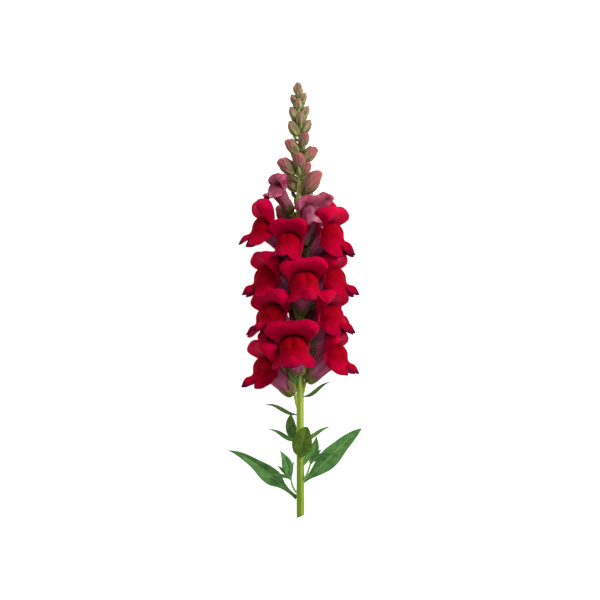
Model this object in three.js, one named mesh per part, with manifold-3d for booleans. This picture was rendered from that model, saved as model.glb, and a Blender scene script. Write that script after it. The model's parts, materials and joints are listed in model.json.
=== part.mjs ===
// A cut flower spike of garden snapdragon (Antirrhinum majus), laid on its back on a surface.
// Millimetres. +Y runs along the stem from the cut end to the tip, +X is to the right,
// +Z is up, away from the surface, and the side of the spike that faces +Z is its front.
// The origin is on the surface, under the middle of the spike.
//
// Each open bloom is modelled in its own frame, which starts where its short stalk ends:
// x leads outwards from the stem, z towards the tip of the spike and y sideways.
import * as THREE from "three";
import { mergeVertices } from "three/addons/utils/BufferGeometryUtils.js";
import Module from "manifold-3d";

const wasm = await Module();
wasm.setup();

// Driving dimensions
const SPIKE_LENGTH = 290;
const STEM_BASE_RADIUS = 2.75;
const PETAL_THICKNESS = 1.0;
const LEAF_THICKNESS = 0.8;
const GAP = 0.3; // between two pieces that touch
const SIDES = 10; // of a round bloom tube
const STEM_TIP_RADIUS = 0.8;
const PEDICEL_RADIUS = 1.0;
const STEM_ABOVE_SURFACE = 32; // the stem's middle, where the open blooms hold it up
const CUT_SLOPE = 0.42; // of the stem's cut end
const BLOOM_REACH = 4.6; // from the middle of the stem to the base of a calyx

// How much fine relief a mesh goes without, in millimetres: the first of the row that leaves the
// pieces apart. The stem and the side shoots are thin, so they keep more of theirs.
const PETAL_RELIEF = [0.3, 0.15, 0.06, 0];
const STEM_RELIEF = [0.15];
const SHOOT_RELIEF = [0.06, 0];
const SPACE_RELIEF = 0.1; // of the space that a bloom takes
const LEAST_OVERLAP = 1e-4; // cubic millimetres

const RED = 0xa80a24;
const PINK = 0xb0507a;
const GREEN = 0x7d9a3c;
const LEAF_GREEN = 0x4a7a38;
const PETAL_ROUGHNESS = 0.7;
const GREEN_ROUGHNESS = 0.6;

// Small helpers

const degrees = (angle) => (angle * Math.PI) / 180;
const mix = (a, b, t) => a + (b - a) * t;
const bell = (value, centre, width) => Math.exp(-(((value - centre) / width) ** 2));

function smooth(value, low, high) {
  const t = Math.min(1, Math.max(0, (value - low) / (high - low)));
  return t * t * (3 - 2 * t);
}

// A repeatable number from -1 to 1 for the given piece and use.
function vary(piece, use) {
  const value = Math.sin(piece * 12.9898 + use * 78.233) * 43758.5453;
  return 2 * (value - Math.floor(value)) - 1;
}

// A value read off a line of [position, value, value...] rows, joined by straight steps.
function along(rows, position) {
  let i = 0;
  while (i < rows.length - 2 && position > rows[i + 1][0]) i += 1;
  const [a, b] = [rows[i], rows[i + 1]];
  const t = Math.min(1, Math.max(0, (position - a[0]) / (b[0] - a[0])));
  return a.slice(1).map((value, k) => mix(value, b[k + 1], t));
}

function geometryOf(points, faces) {
  const geometry = new THREE.BufferGeometry();
  const numbers = points.flatMap((point) => point.toArray());
  geometry.setAttribute("position", new THREE.Float32BufferAttribute(numbers, 3));
  geometry.setIndex(faces.flat());
  return geometry;
}

function solidOf(geometry) {
  const bare = geometry.clone();
  bare.deleteAttribute("normal");
  bare.deleteAttribute("uv");
  const merged = mergeVertices(bare, 1e-4);
  const vertProperties = new Float32Array(merged.attributes.position.array);
  const triVerts = new Uint32Array(merged.index.array);
  const made = new wasm.Manifold(new wasm.Mesh({ numProp: 3, vertProperties, triVerts }));
  if (made.volume() > 0) return made;
  return new wasm.Manifold(new wasm.Mesh({ numProp: 3, vertProperties, triVerts: triVerts.reverse() }));
}

// The largest body of a solid, without its sealed hollows and loose scraps.
function oneBody(solid) {
  return solid.decompose().reduce((best, body) => (body.volume() > best.volume() ? body : best));
}

function touching(a, b) {
  const [p, q] = [a.boundingBox(), b.boundingBox()];
  return [0, 1, 2].every((k) => p.min[k] < q.max[k] && q.min[k] < p.max[k]);
}

// A mesh of the solid with its finest relief left out, as far as that keeps it apart from the meshes
// made before it.
const made = [];
function meshOf(name, solid, colour, roughness, finest = PETAL_RELIEF) {
  const body = oneBody(solid);
  const free = (one, other) => !touching(one, other) || one.intersect(other).volume() < LEAST_OVERLAP;
  const apart = (one) => made.every((other) => free(one, other));
  const simple = finest.map((step) => oneBody(body.simplify(step))).find(apart) ?? body;
  made.push(simple);
  const { vertProperties, triVerts } = simple.getMesh();
  const geometry = new THREE.BufferGeometry();
  geometry.setAttribute("position", new THREE.BufferAttribute(new Float32Array(vertProperties), 3));
  geometry.setIndex(new THREE.BufferAttribute(new Uint32Array(triVerts), 1));
  geometry.computeVertexNormals();
  const material = new THREE.MeshStandardMaterial({ color: colour, roughness, metalness: 0 });
  const mesh = new THREE.Mesh(geometry, material);
  mesh.name = name;
  return mesh;
}

// Normals of points from the faces that meet there.
function normalsOf(points, faces) {
  const normals = points.map(() => new THREE.Vector3());
  for (const [a, b, c] of faces) {
    const across = points[b].clone().sub(points[a]).cross(points[c].clone().sub(points[a]));
    [a, b, c].forEach((i) => normals[i].add(across));
  }
  return normals.map((normal) => normal.normalize());
}

// A closed solid through rings of points with the same number of points each.
function loft(rings) {
  const count = rings[0].length;
  const points = rings.flat();
  const faces = [];
  for (let r = 0; r + 1 < rings.length; r += 1) {
    for (let i = 0; i < count; i += 1) {
      const [a, b] = [r * count + i, r * count + ((i + 1) % count)];
      faces.push([a, b, b + count], [a, b + count, a + count]);
    }
  }
  for (const [ring, turn] of [[0, 1], [rings.length - 1, 0]]) {
    const centre = new THREE.Vector3();
    rings[ring].forEach((p) => centre.addScaledVector(p, 1 / count));
    points.push(centre);
    for (let i = 0; i < count; i += 1) {
      const [a, b] = [ring * count + i, ring * count + ((i + 1) % count)];
      faces.push(turn ? [b, a, points.length - 1] : [a, b, points.length - 1]);
    }
  }
  return geometryOf(points, faces);
}

// A closed blade over a grid of points surface(u, v), as thick as given on both sides of them.
function blade(surface, half, us, vs) {
  const grid = us.map((u) => vs.map((v) => surface(u, v)));
  const [front, back] = [[], []];
  us.forEach((u, i) =>
    vs.forEach((v, j) => {
      const du = grid[Math.min(i + 1, us.length - 1)][j].clone().sub(grid[Math.max(i - 1, 0)][j]);
      const dv = grid[i][Math.min(j + 1, vs.length - 1)].clone().sub(grid[i][Math.max(j - 1, 0)]);
      const normal = du.cross(dv).normalize();
      front.push(grid[i][j].clone().addScaledVector(normal, half));
      back.push(grid[i][j].clone().addScaledVector(normal, -half));
    }),
  );
  const [rows, columns] = [us.length, vs.length];
  const under = rows * columns;
  const faces = [];
  for (let i = 0; i + 1 < rows; i += 1) {
    for (let j = 0; j + 1 < columns; j += 1) {
      const a = i * columns + j;
      const [b, c, d] = [a + columns, a + columns + 1, a + 1];
      faces.push([a, b, c], [a, c, d]);
      faces.push([a + under, c + under, b + under], [a + under, d + under, c + under]);
    }
  }
  const border = [];
  for (let j = 0; j + 1 < columns; j += 1) border.push(j);
  for (let i = 0; i + 1 < rows; i += 1) border.push(i * columns + columns - 1);
  for (let j = columns - 1; j > 0; j -= 1) border.push((rows - 1) * columns + j);
  for (let i = rows - 1; i > 0; i -= 1) border.push(i * columns);
  border.forEach((a, k) => {
    const b = border[(k + 1) % border.length];
    faces.push([a, b, b + under], [a, b + under, a + under]);
  });
  return geometryOf([...front, ...back], faces);
}

const steps = (count) => Array.from({ length: count + 1 }, (_, i) => i / count);

// A point on a cubic curve from its four control points.
function bend([a, b, c, d], t) {
  const s = 1 - t;
  return a
    .clone()
    .multiplyScalar(s * s * s)
    .addScaledVector(b, 3 * s * s * t)
    .addScaledVector(c, 3 * s * t * t)
    .addScaledVector(d, t * t * t);
}

function direction(controls, t) {
  const [before, after] = [Math.max(0, t - 0.02), Math.min(1, t + 0.02)];
  return bend(controls, after).sub(bend(controls, before)).normalize();
}

// A round stalk along a cubic curve, radius(t) thick, with the given number of sides and steps.
function stalk(controls, radius, sides, count) {
  const rings = steps(count).map((t) => {
    const here = bend(controls, t);
    const ahead = direction(controls, t);
    const across = new THREE.Vector3().crossVectors(ahead, new THREE.Vector3(0.3, 0, 1)).normalize();
    const over = new THREE.Vector3().crossVectors(across, ahead);
    return Array.from({ length: sides }, (_, i) => {
      const turn = (2 * Math.PI * i) / sides;
      return here
        .clone()
        .addScaledVector(across, Math.cos(turn) * radius(t))
        .addScaledVector(over, Math.sin(turn) * radius(t));
    });
  });
  return solidOf(loft(rings));
}

// The bloom: a tube with a bulging base, a hood of two lobes over the mouth, and a lower lip that
// swells into a two-humped palate, closes the mouth and flares into three lobes.

// Stations of the tube: place from 0 to 1, x, z, tilt of its direction in degrees, half width, half height.
const TUBE = [
  [0, 1.6, 0.8, 34, 3.8, 3.8],
  [1, 14.7, 13.3, 22, 8.2, 7.4],
];

// A point of the tube at a place along it and a turn round it from its top, in degrees, moved
// outwards by extra and back along the tube by back.
function tubePoint(place, turn, extra = 0, back = 0) {
  const [x, z, tilt, halfWidth, halfHeight] = along(TUBE, place);
  const [cos, sin] = [Math.cos(degrees(tilt)), Math.sin(degrees(tilt))];
  const side = Math.sin(degrees(turn)) * (halfWidth + extra);
  const rise = Math.cos(degrees(turn)) * (halfHeight + extra);
  return new THREE.Vector3(x - cos * back - sin * rise, side, z - sin * back + cos * rise);
}

function tubeRing(place, extra = 0, back = 0) {
  return Array.from({ length: SIDES }, (_, i) => tubePoint(place, (360 * i) / SIDES, extra, back));
}

// The face is one surface of lines that start at the top of the palate. Those of the lower lip run
// down like the meridians of a bell. The outermost two of them, at the sides of the palate, are also
// the crease where the lines of the hood start.

// Meridians of the lip: share of the way, distance out from the bell's axis and depth below its top.
const SIDE_LOBE = [
  [0, 0, 0],
  [0.2, 5.6, 1.2],
  [0.42, 9.2, 6.2],
  [0.62, 9.7, 12.2],
  [0.82, 12.6, 17.0],
  [1, 16.4, 20.6],
];
const MID_LOBE = [
  [0, 0, 0],
  [0.2, 5.4, 1.3],
  [0.42, 9.0, 6.4],
  [0.62, 10.6, 11.8],
  [0.82, 15.4, 14.2],
  [1, 17.8, 19.8],
];
const CORNER = [
  [0, 0, 0],
  [0.2, 5.4, 1.4],
  [0.42, 8.4, 6.0],
  [0.62, 8.8, 10.4],
  [0.82, 9.6, 12.8],
  [1, 10.8, 14.8],
];
const BELL_TOP = new THREE.Vector3(18.6, 0, 24);
const CORNER_ANGLE = 110;

function lipPoint(form, angle, share) {
  const off = Math.abs(angle);
  const rows = [SIDE_LOBE, MID_LOBE, CORNER].map((line) => along(line, share));
  const [middle, corner] = [bell(off, 0, 20), smooth(off, 74, CORNER_ANGLE)];
  const closed = smooth(share, 0.6, 1) * (1 - form.lip);
  const cut = form.cleft * smooth(share, 0.7, 1) * bell(off, 26, 8);
  const root = along(SIDE_LOBE, 0.6);
  const [out, down] = [0, 1].map((k) =>
    mix(mix(mix(rows[0][k], rows[1][k], middle), rows[2][k], corner), root[k], Math.min(1, closed + cut)),
  );
  const furrow = 1 - 0.13 * bell(off, 0, 13) * (1 - smooth(share, 0.3, 0.66));
  const turn = degrees(angle);
  const narrow = mix(1, angle < 0 ? form.left : form.right, smooth(share, 0.6, 1) * 0.6);
  return new THREE.Vector3(
    BELL_TOP.x + out * furrow * Math.cos(turn),
    out * furrow * Math.sin(turn) * narrow,
    BELL_TOP.z - down,
  );
}

// Lines of the right half of the hood, from its middle outwards: x, y, z of points that climb the
// face, pass the roll and end at the margin.
const HOOD = [
  [[24.4, 0, 26.8], [27.6, 0, 30.2], [25.4, 0, 33.4], [19.4, 0, 33.6]],
  [[24.5, 8.0, 26.2], [28.2, 9.0, 30.2], [25.8, 10.2, 34.0], [18.8, 9.8, 34.4]],
  [[22.6, 12.8, 23.0], [26.2, 16.6, 25.8], [23.4, 18.4, 28.8], [16.6, 16.8, 30.2]],
  [[16.8, 9.6, 18.6], [17.6, 10.6, 19.6], [16.6, 11.2, 21.0], [14.2, 10.8, 21.6]],
];

function hoodPoint(form, line, row) {
  const side = Math.abs(line);
  const start = lipPoint(form, side ? CORNER_ANGLE : 0, LIP_SHARES[side]);
  const [x, y, z] = HOOD[side][row - 1];
  start.y = Math.abs(start.y);
  const bent = new THREE.Vector3(x, y, z).sub(start).multiplyScalar(form.hood).add(start);
  bent.y = mix(start.y, bent.y, line < 0 ? form.left : form.right) * Math.sign(line);
  return bent;
}

const LIP_SHARES = [0, 0.26, 0.56, 0.79, 1];
const LIP_ANGLES = [CORNER_ANGLE, 60, 27, 10, -10, -27, -60, -CORNER_ANGLE];
const HOOD_LINES = [-4, -3, -2, -1, 0, 1, 2, 3, 4];
const CREASE_TURN = 104; // round the mouth, where the crease ends
const RIM_TURNS = [0, 30, 62, 88, CREASE_TURN]; // round the mouth, at the lines of the hood
const lipTurn = (angle) => Math.sign(angle) * (180 - (Math.abs(angle) * (180 - CREASE_TURN)) / CORNER_ANGLE);

// The corolla of one bloom in its own frame: the face, its back one petal thick behind it, and the
// tube, as one closed surface. grow moves the whole surface outwards.
function corolla(form, grow = 0) {
  const points = [];
  const known = new Map();
  const vertex = (key, make) => {
    if (!known.has(key)) {
      known.set(key, points.length);
      points.push(make());
    }
    return known.get(key);
  };
  const lip = (k, row) => {
    if (row === 0) return vertex("top", () => BELL_TOP.clone());
    return vertex(`lip ${k} ${row}`, () => lipPoint(form, LIP_ANGLES[k], LIP_SHARES[row]));
  };
  const corner = (line) => (line > 0 ? 0 : LIP_ANGLES.length - 1);
  const hood = (line, row) => {
    if (row === 0) return line === 0 ? lip(0, 0) : lip(corner(line), Math.abs(line));
    if (Math.abs(line) === 4) return lip(corner(line), 4);
    return vertex(`hood ${line} ${row}`, () => hoodPoint(form, line, row));
  };

  const faces = [];
  const strip = (rowsA, rowsB) => {
    for (let r = 0; r + 1 < rowsA.length; r += 1) {
      for (const face of [[rowsA[r], rowsB[r], rowsB[r + 1]], [rowsA[r], rowsB[r + 1], rowsA[r + 1]]]) {
        if (new Set(face).size === 3) faces.push(face);
      }
    }
  };
  const hoodColumns = HOOD_LINES.map((line) => [0, 1, 2, 3, 4].map((row) => hood(line, row)));
  const lipColumns = LIP_ANGLES.map((_, k) => [0, 1, 2, 3, 4].map((row) => lip(k, row)));
  for (const columns of [hoodColumns, lipColumns]) {
    for (let c = 0; c + 1 < columns.length; c += 1) strip(columns[c], columns[c + 1]);
  }

  const normals = normalsOf(points, faces);
  const behind = (index) =>
    vertex(`behind ${index}`, () => points[index].clone().addScaledVector(normals[index], -PETAL_THICKNESS));
  const columns = [
    ...hoodColumns.map((column, i) => ({
      edge: [column[4], column[3], column[2]],
      turn: Math.sign(HOOD_LINES[i]) * RIM_TURNS[Math.abs(HOOD_LINES[i])],
    })),
    ...lipColumns.slice(1, -1).map((column, i) => ({
      edge: [column[4], column[3], column[2]],
      turn: lipTurn(LIP_ANGLES[i + 1]),
    })),
  ];
  const backs = columns.map(({ edge, turn }, c) => [
    edge[0],
    ...edge.map(behind),
    ...[1, 0].map((place) => vertex(`tube ${c} ${place}`, () => tubePoint(place, turn))),
    vertex("base", () => tubePoint(0, 0).add(tubePoint(0, 180)).multiplyScalar(0.5)),
  ]);
  backs.forEach((back, c) => strip(back, backs[(c + 1) % backs.length]));

  const all = normalsOf(points, faces);
  const grown = points.map((point, i) => point.clone().addScaledVector(all[i], grow));
  return solidOf(geometryOf(grown, faces));
}

// The calyx: a cup of five short sepals round the base of the tube, with a thick floor.
const CALYX_WALL = 0.85;
const CALYX_FLOOR = 1.9;
const CALYX_BASE = 0.5; // how much wider than the tube the calyx is at its floor
const SEPAL_TIP = 0.46;
const SEPAL_VALLEY = 0.24;
const ROUNDING = 0.35; // the cup has fewer sides than the tube inside it

function zigzag(extra) {
  const [tips, valleys] = [tubeRing(SEPAL_TIP, extra), tubeRing(SEPAL_VALLEY, extra)];
  return tips.map((point, i) => (i % 2 ? valleys[i] : point));
}

function calyx(gap) {
  const [inner, outer] = [gap + ROUNDING, gap + ROUNDING + CALYX_WALL];
  return solidOf(
    loft([tubeRing(0, CALYX_BASE, CALYX_FLOOR), zigzag(outer), zigzag(inner), tubeRing(0, inner, gap)]),
  );
}

// The space that a calyx and its contents take, with a gap round them.
function calyxSpace(gap) {
  const outer = 2 * gap + ROUNDING + CALYX_WALL;
  return solidOf(loft([tubeRing(0, CALYX_BASE + gap, CALYX_FLOOR + gap), tubeRing(SEPAL_TIP, outer)]));
}

// The stem, which bends a little. Rows are height, x of its middle and radius.
const STEM = [
  [0, 0.2, STEM_BASE_RADIUS],
  [80, 0, 2.55],
  [150, -0.2, 2.45],
  [210, -0.5, 2.2],
  [235, 0.2, 1.7],
  [258, 0, 1.3],
  [278, -1.0, 1.0],
  [SPIKE_LENGTH - 4, -1.6, STEM_TIP_RADIUS],
];

function stemAt(height) {
  const [x, radius] = along(STEM, height);
  return { middle: new THREE.Vector3(x, height, 0), radius };
}

const STEM_SIDES = 10;

function mainStem(grow) {
  const rings = STEM.map(([height, x, radius], row) =>
    Array.from({ length: STEM_SIDES }, (_, i) => {
      const turn = (2 * Math.PI * i) / STEM_SIDES;
      const across = Math.cos(turn) * (radius + grow);
      const slope = row === 0 ? STEM_BASE_RADIUS * CUT_SLOPE + across * CUT_SLOPE : 0;
      return new THREE.Vector3(x + across, height + slope, -Math.sin(turn) * (radius + grow));
    }),
  );
  return solidOf(loft(rings));
}

// Where a bloom or bud sits: turn round the stem from the front (to the right), height, pitch upwards
// and roll in degrees, size against a full bloom, reach from the middle of the stem.
function seat({ turn, height, pitch = 0, roll = 0, size = 1, reach = BLOOM_REACH }) {
  const [sin, cos] = [Math.sin(degrees(turn)), Math.cos(degrees(turn))];
  const out = new THREE.Vector3(sin, 0, cos);
  const place = stemAt(height).middle.addScaledVector(out, reach);
  return new THREE.Matrix4()
    .makeBasis(out, new THREE.Vector3(cos, 0, -sin), new THREE.Vector3(0, 1, 0))
    .setPosition(place)
    .multiply(new THREE.Matrix4().makeRotationY(-degrees(pitch)))
    .multiply(new THREE.Matrix4().makeRotationX(degrees(roll)))
    .multiply(new THREE.Matrix4().makeScale(size, size, size));
}

const moved = (solid, matrix) => solid.transform(matrix.elements);

// The short stalk of a bloom: it leaves the stem below, runs up along it and ends in the calyx's floor.
function pedicel(bloom, radius) {
  const matrix = seat(bloom);
  const end = new THREE.Vector3(0.6, 0, 0.3).applyMatrix4(matrix);
  const before = new THREE.Vector3(-2.6, 0, -2.4).applyMatrix4(matrix);
  const foot = stemAt(bloom.height - bloom.drop).middle;
  const out = end.clone().sub(foot).setY(0).normalize();
  const { radius: stemRadius } = stemAt(bloom.height - bloom.drop);
  const side = foot.clone().addScaledVector(out, stemRadius + 1.4).setY(foot.y + bloom.drop * 0.45);
  return stalk([foot, side, before, end], (t) => radius * mix(1, 1.15, t), 4, 3);
}

const OPEN_BLOOMS = [
  { turn: -82, height: 176, pitch: 3, left: 0.85 },
  { turn: -24, height: 164, pitch: 15, size: 0.88, left: 0.74, right: 0.8 },
  { turn: 64, height: 171, pitch: 4, left: 0.85, right: 0.9 },
  { turn: -68, height: 142.5, pitch: 3, left: 0.8, right: 0.8, hood: 0.97 },
  { turn: 10, height: 138, pitch: 5, roll: 3, left: 0.9, right: 0.86, hood: 0.92 },
  { turn: 74, height: 142, pitch: 4, left: 0.75, right: 0.85, hood: 0.95 },
  { turn: -48, height: 118.5, pitch: 1, left: 0.85, right: 0.72, hood: 0.9 },
  { turn: -8, height: 98, pitch: 0, roll: 3 },
  { turn: 62, height: 117, pitch: 4, left: 0.95, right: 0.9, hood: 0.96 },
  { turn: -68, height: 84, pitch: 0, right: 0.8 },
  { turn: 74, height: 92.5, pitch: 0, hood: 0.84, left: 0.95 },
  { turn: -148, height: 94, pitch: 0, size: 0.94, reach: 6, left: 0.9, right: 0.85 },
  { turn: 150, height: 97, pitch: 0, size: 0.94, reach: 6, left: 0.8, right: 0.8, hood: 0.92 },
  { turn: 124, height: 123, pitch: 2, left: 0.8, hood: 0.86 },
  { turn: 178, height: 120, pitch: 4, size: 0.84, left: 0.72, right: 0.85, hood: 0.9 },
  { turn: -118, height: 116, pitch: 2, left: 0.8, right: 0.82, hood: 0.94 },
  { turn: 143, height: 151, pitch: 3, left: 0.82, right: 0.85, hood: 0.86 },
  { turn: -152, height: 145, pitch: 4, size: 0.92, left: 0.8, right: 0.7 },
  { turn: 122, height: 180, pitch: 12, size: 0.84, left: 0.8 },
  { turn: -178, height: 175.5, pitch: 8, size: 0.8, left: 0.8, right: 0.82 },
];

// How far below its bloom a stalk leaves the stem
const OPEN_DROP = 13;
const YOUNG_DROP = 9;

// Half-open blooms above them, smaller and paler, with the mouth still narrow.
const YOUNG_BLOOMS = [
  { turn: -68, height: 204, pitch: 12, size: 0.68, reach: 5.2, right: 0.9 },
  { turn: 22, height: 183, pitch: 22, roll: -10, size: 0.82, reach: 6, left: 0.8, right: 0.95 },
];

OPEN_BLOOMS.forEach((bloom, i) => {
  bloom.name = `bloom_${String(i + 1).padStart(2, "0")}`;
  bloom.drop = OPEN_DROP;
  bloom.size = bloom.size ?? 1;
  bloom.form = {
    hood: (bloom.hood ?? 1) * (1 + 0.02 * vary(i, 1)),
    left: bloom.left ?? 1,
    right: bloom.right ?? 1,
    lip: 1,
    cleft: 0.4 + 0.15 * vary(i, 3),
  };
});
YOUNG_BLOOMS.forEach((bloom, i) => {
  bloom.name = `young_bloom_${i + 1}`;
  bloom.drop = YOUNG_DROP;
  const [left, right] = [0.9 * (bloom.left ?? 1), 0.9 * (bloom.right ?? 1)];
  bloom.form = { hood: 0.86, left, right, lip: 0.55, cleft: 0.3 };
});
const BLOOMS = [...OPEN_BLOOMS, ...YOUNG_BLOOMS];

// The buds: closed egg shapes on short stalks, smaller and closer towards the tip. The larger ones
// show the tip of their petals above the calyx.
const BUDS = [
  { turn: -128, height: 196, size: 15, lean: 46, shows: 0.62, stalk: 0.3 },
  { turn: 168, height: 207, size: 14, lean: 46, shows: 0.62, stalk: 0.3 },
  { turn: 68, height: 218, size: 15.5, lean: 52, shows: 0.62, stalk: 0.15 },
  { turn: -140, height: 220, size: 12, lean: 48, shows: 0.55, stalk: 0.15 },
  { turn: 45, height: 230.5, size: 9, lean: 48, shows: 0.4 },
  { turn: -75, height: 232, size: 12, lean: 34, shows: 0.36, stalk: 0.15 },
  { turn: 150, height: 233, size: 10, lean: 44, shows: 0.38 },
  { turn: -8, height: 234.5, size: 11, lean: 52, shows: 0.45 },
  { turn: 80, height: 240.5, size: 10.8, lean: 42, shows: 0.36 },
  { turn: -150, height: 241, size: 9.5, lean: 46, shows: 0.3 },
  { turn: -72, height: 245.5, size: 10.2, lean: 44, shows: 0.3 },
  { turn: 32, height: 249.5, size: 9, lean: 52, shows: 0.25 },
  { turn: 150, height: 252, size: 8.8, lean: 48 },
  { turn: -66, height: 257, size: 9.2, lean: 50 },
  { turn: 74, height: 258.5, size: 8.4, lean: 50 },
  { turn: 8, height: 263.5, size: 7.6, lean: 56 },
  { turn: -165, height: 263, size: 8, lean: 52 },
  { turn: -76, height: 267, size: 8.2, lean: 54 },
  { turn: 76, height: 268.5, size: 7.4, lean: 52 },
  { turn: 172, height: 273.5, size: 6.8, lean: 54 },
  { turn: -8, height: 273.5, size: 6.6, lean: 58 },
  { turn: -84, height: 276.6, size: 6.6, lean: 56 },
  { turn: 70, height: 277.5, size: 6.6, lean: 58 },
];
BUDS.filter((bud) => bud.shows).forEach((bud, i) => {
  bud.name = `bud_petals_${i + 1}`;
});
const TIP_BUDS = 5;
const GOLDEN_TURN = 137.5;
for (let i = 0; i < TIP_BUDS; i += 1) {
  BUDS.push({ turn: i * GOLDEN_TURN, height: 281 + i * 1.3, size: 5.8 - 0.3 * i, lean: 66 + 4 * i });
}

const BUD_WIDTH = 0.39; // half width as a share of the length
const BUD_SEAT = 0.32; // how far below its height a bud starts, as a share of its length
const BUD_SINK = 0.4; // how far inside the stem, as a share of the stem's radius
const BUD_WIDEST = 0.56;
const BUD_BELLY = 0.5; // from the widest place to where the egg shape closes
const BUD_LEAST = 0.03; // keeps the ends a little open
const BUD_CURL = 0.12;
const BUD_STRETCH = 1.15;

// Rings of a bud round its own line, from share `from` to share `to` of its length. share 0 is the
// stalk's end and 1 the tip.
function budRings(bud, from, to, extra, count) {
  const { middle, radius } = stemAt(bud.height - bud.size * BUD_SEAT);
  const out = new THREE.Vector3(Math.sin(degrees(bud.turn)), 0, Math.cos(degrees(bud.turn)));
  const ahead = out.clone().multiplyScalar(Math.cos(degrees(bud.lean))).setY(Math.sin(degrees(bud.lean)));
  const start = middle.addScaledVector(out, radius * BUD_SINK);
  start.addScaledVector(ahead, (bud.stalk ?? 0) * bud.size);
  const across = new THREE.Vector3(out.z, 0, -out.x);
  const over = new THREE.Vector3().crossVectors(across, ahead);
  return steps(count).map((t) => {
    const share = mix(from, to, t);
    const egg = Math.max(BUD_LEAST, 1 - ((share - BUD_WIDEST) / BUD_BELLY) ** 2);
    const wide = bud.size * BUD_WIDTH * Math.sqrt(egg) + extra;
    const reach = share * bud.size * BUD_STRETCH + Math.sign(t - 0.5) * extra;
    const centre = start.clone().addScaledVector(ahead, reach);
    centre.y += bud.size * BUD_CURL * share * share;
    const sides = bud.size > 7 ? 6 : 5;
    return Array.from({ length: sides }, (_, i) => {
      const turn = (2 * Math.PI * i) / sides;
      return centre
        .clone()
        .addScaledVector(across, Math.cos(turn) * wide)
        .addScaledVector(over, Math.sin(turn) * wide);
    });
  });
}

// Where a bud's calyx ends and its petals show, as shares of the length with the gap between them.
const BUD_END = 1.03;
const budSplit = (bud) => [1 - bud.shows, 1 - bud.shows + GAP / bud.size];
const budPetals = (bud, extra = 0) => solidOf(loft(budRings(bud, budSplit(bud)[1], BUD_END, extra, 3)));

// A leaf or bract: a thin blade on both sides of a curved midrib, folded up a little along it.
// line is the midrib's four control points, width its widest, face the way its upper side looks.
const LEAF_STEPS = 6;
const LEAF_ACROSS = [-1, -0.5, 0, 0.5, 1];
const BRACT_ACROSS = [-1, 0, 1];
const LEAST_HALF_WIDTH = 0.45; // of a leaf, at its tip
const LEAF_FROM = 0.02; // the first and last row of a leaf, as shares of its midrib
const LEAF_TO = 0.98;
const RIPPLES = 9; // radians of the wave along a leaf
const SIDE_SHIFT = 1.3; // of the wave on one side of the midrib

// The width of a leaf along its midrib, as a share of its widest. A peak above 1 moves the widest
// place towards the tip, and a blunt below 1 rounds the tip off.
function leafWidth(t, petiole, peak = 0.85, blunt = 1.25) {
  const stalked = petiole * (1 - smooth(t, 0.05, 0.4));
  return Math.max(stalked, Math.sin(Math.PI * t ** peak) ** blunt) * (1 - 0.12 * t);
}

function leafSolid(leaf, rows = LEAF_STEPS, lines = LEAF_ACROSS, grow = 0) {
  const { line, width, face, fold = 0.25, wave = 0.04, petiole = 0.26, piece = 0 } = leaf;
  const { peak, blunt } = leaf;
  const up = face.clone().normalize();
  const surface = (i, j) => {
    const [t, side] = [mix(LEAF_FROM, LEAF_TO, i / rows), lines[j]];
    const ahead = direction(line, t);
    const across = new THREE.Vector3().crossVectors(ahead, up).normalize();
    const lift = new THREE.Vector3().crossVectors(across, ahead);
    const half = Math.max(LEAST_HALF_WIDTH, (width / 2) * leafWidth(t, petiole, peak, blunt));
    const shift = 2 * piece + (side > 0 ? SIDE_SHIFT : 0);
    const ripple = 2 * wave * half * Math.sin(RIPPLES * t + shift) * Math.abs(side);
    return bend(line, t)
      .addScaledVector(across, side * half)
      .addScaledVector(lift, fold * Math.abs(side) * half + ripple);
  };
  const rowNumbers = Array.from({ length: rows + 1 }, (_, i) => i);
  return solidOf(blade(surface, LEAF_THICKNESS / 2 + grow, rowNumbers, [...lines.keys()]));
}

const at = (x, y, z) => new THREE.Vector3(x, y, z);

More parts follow.
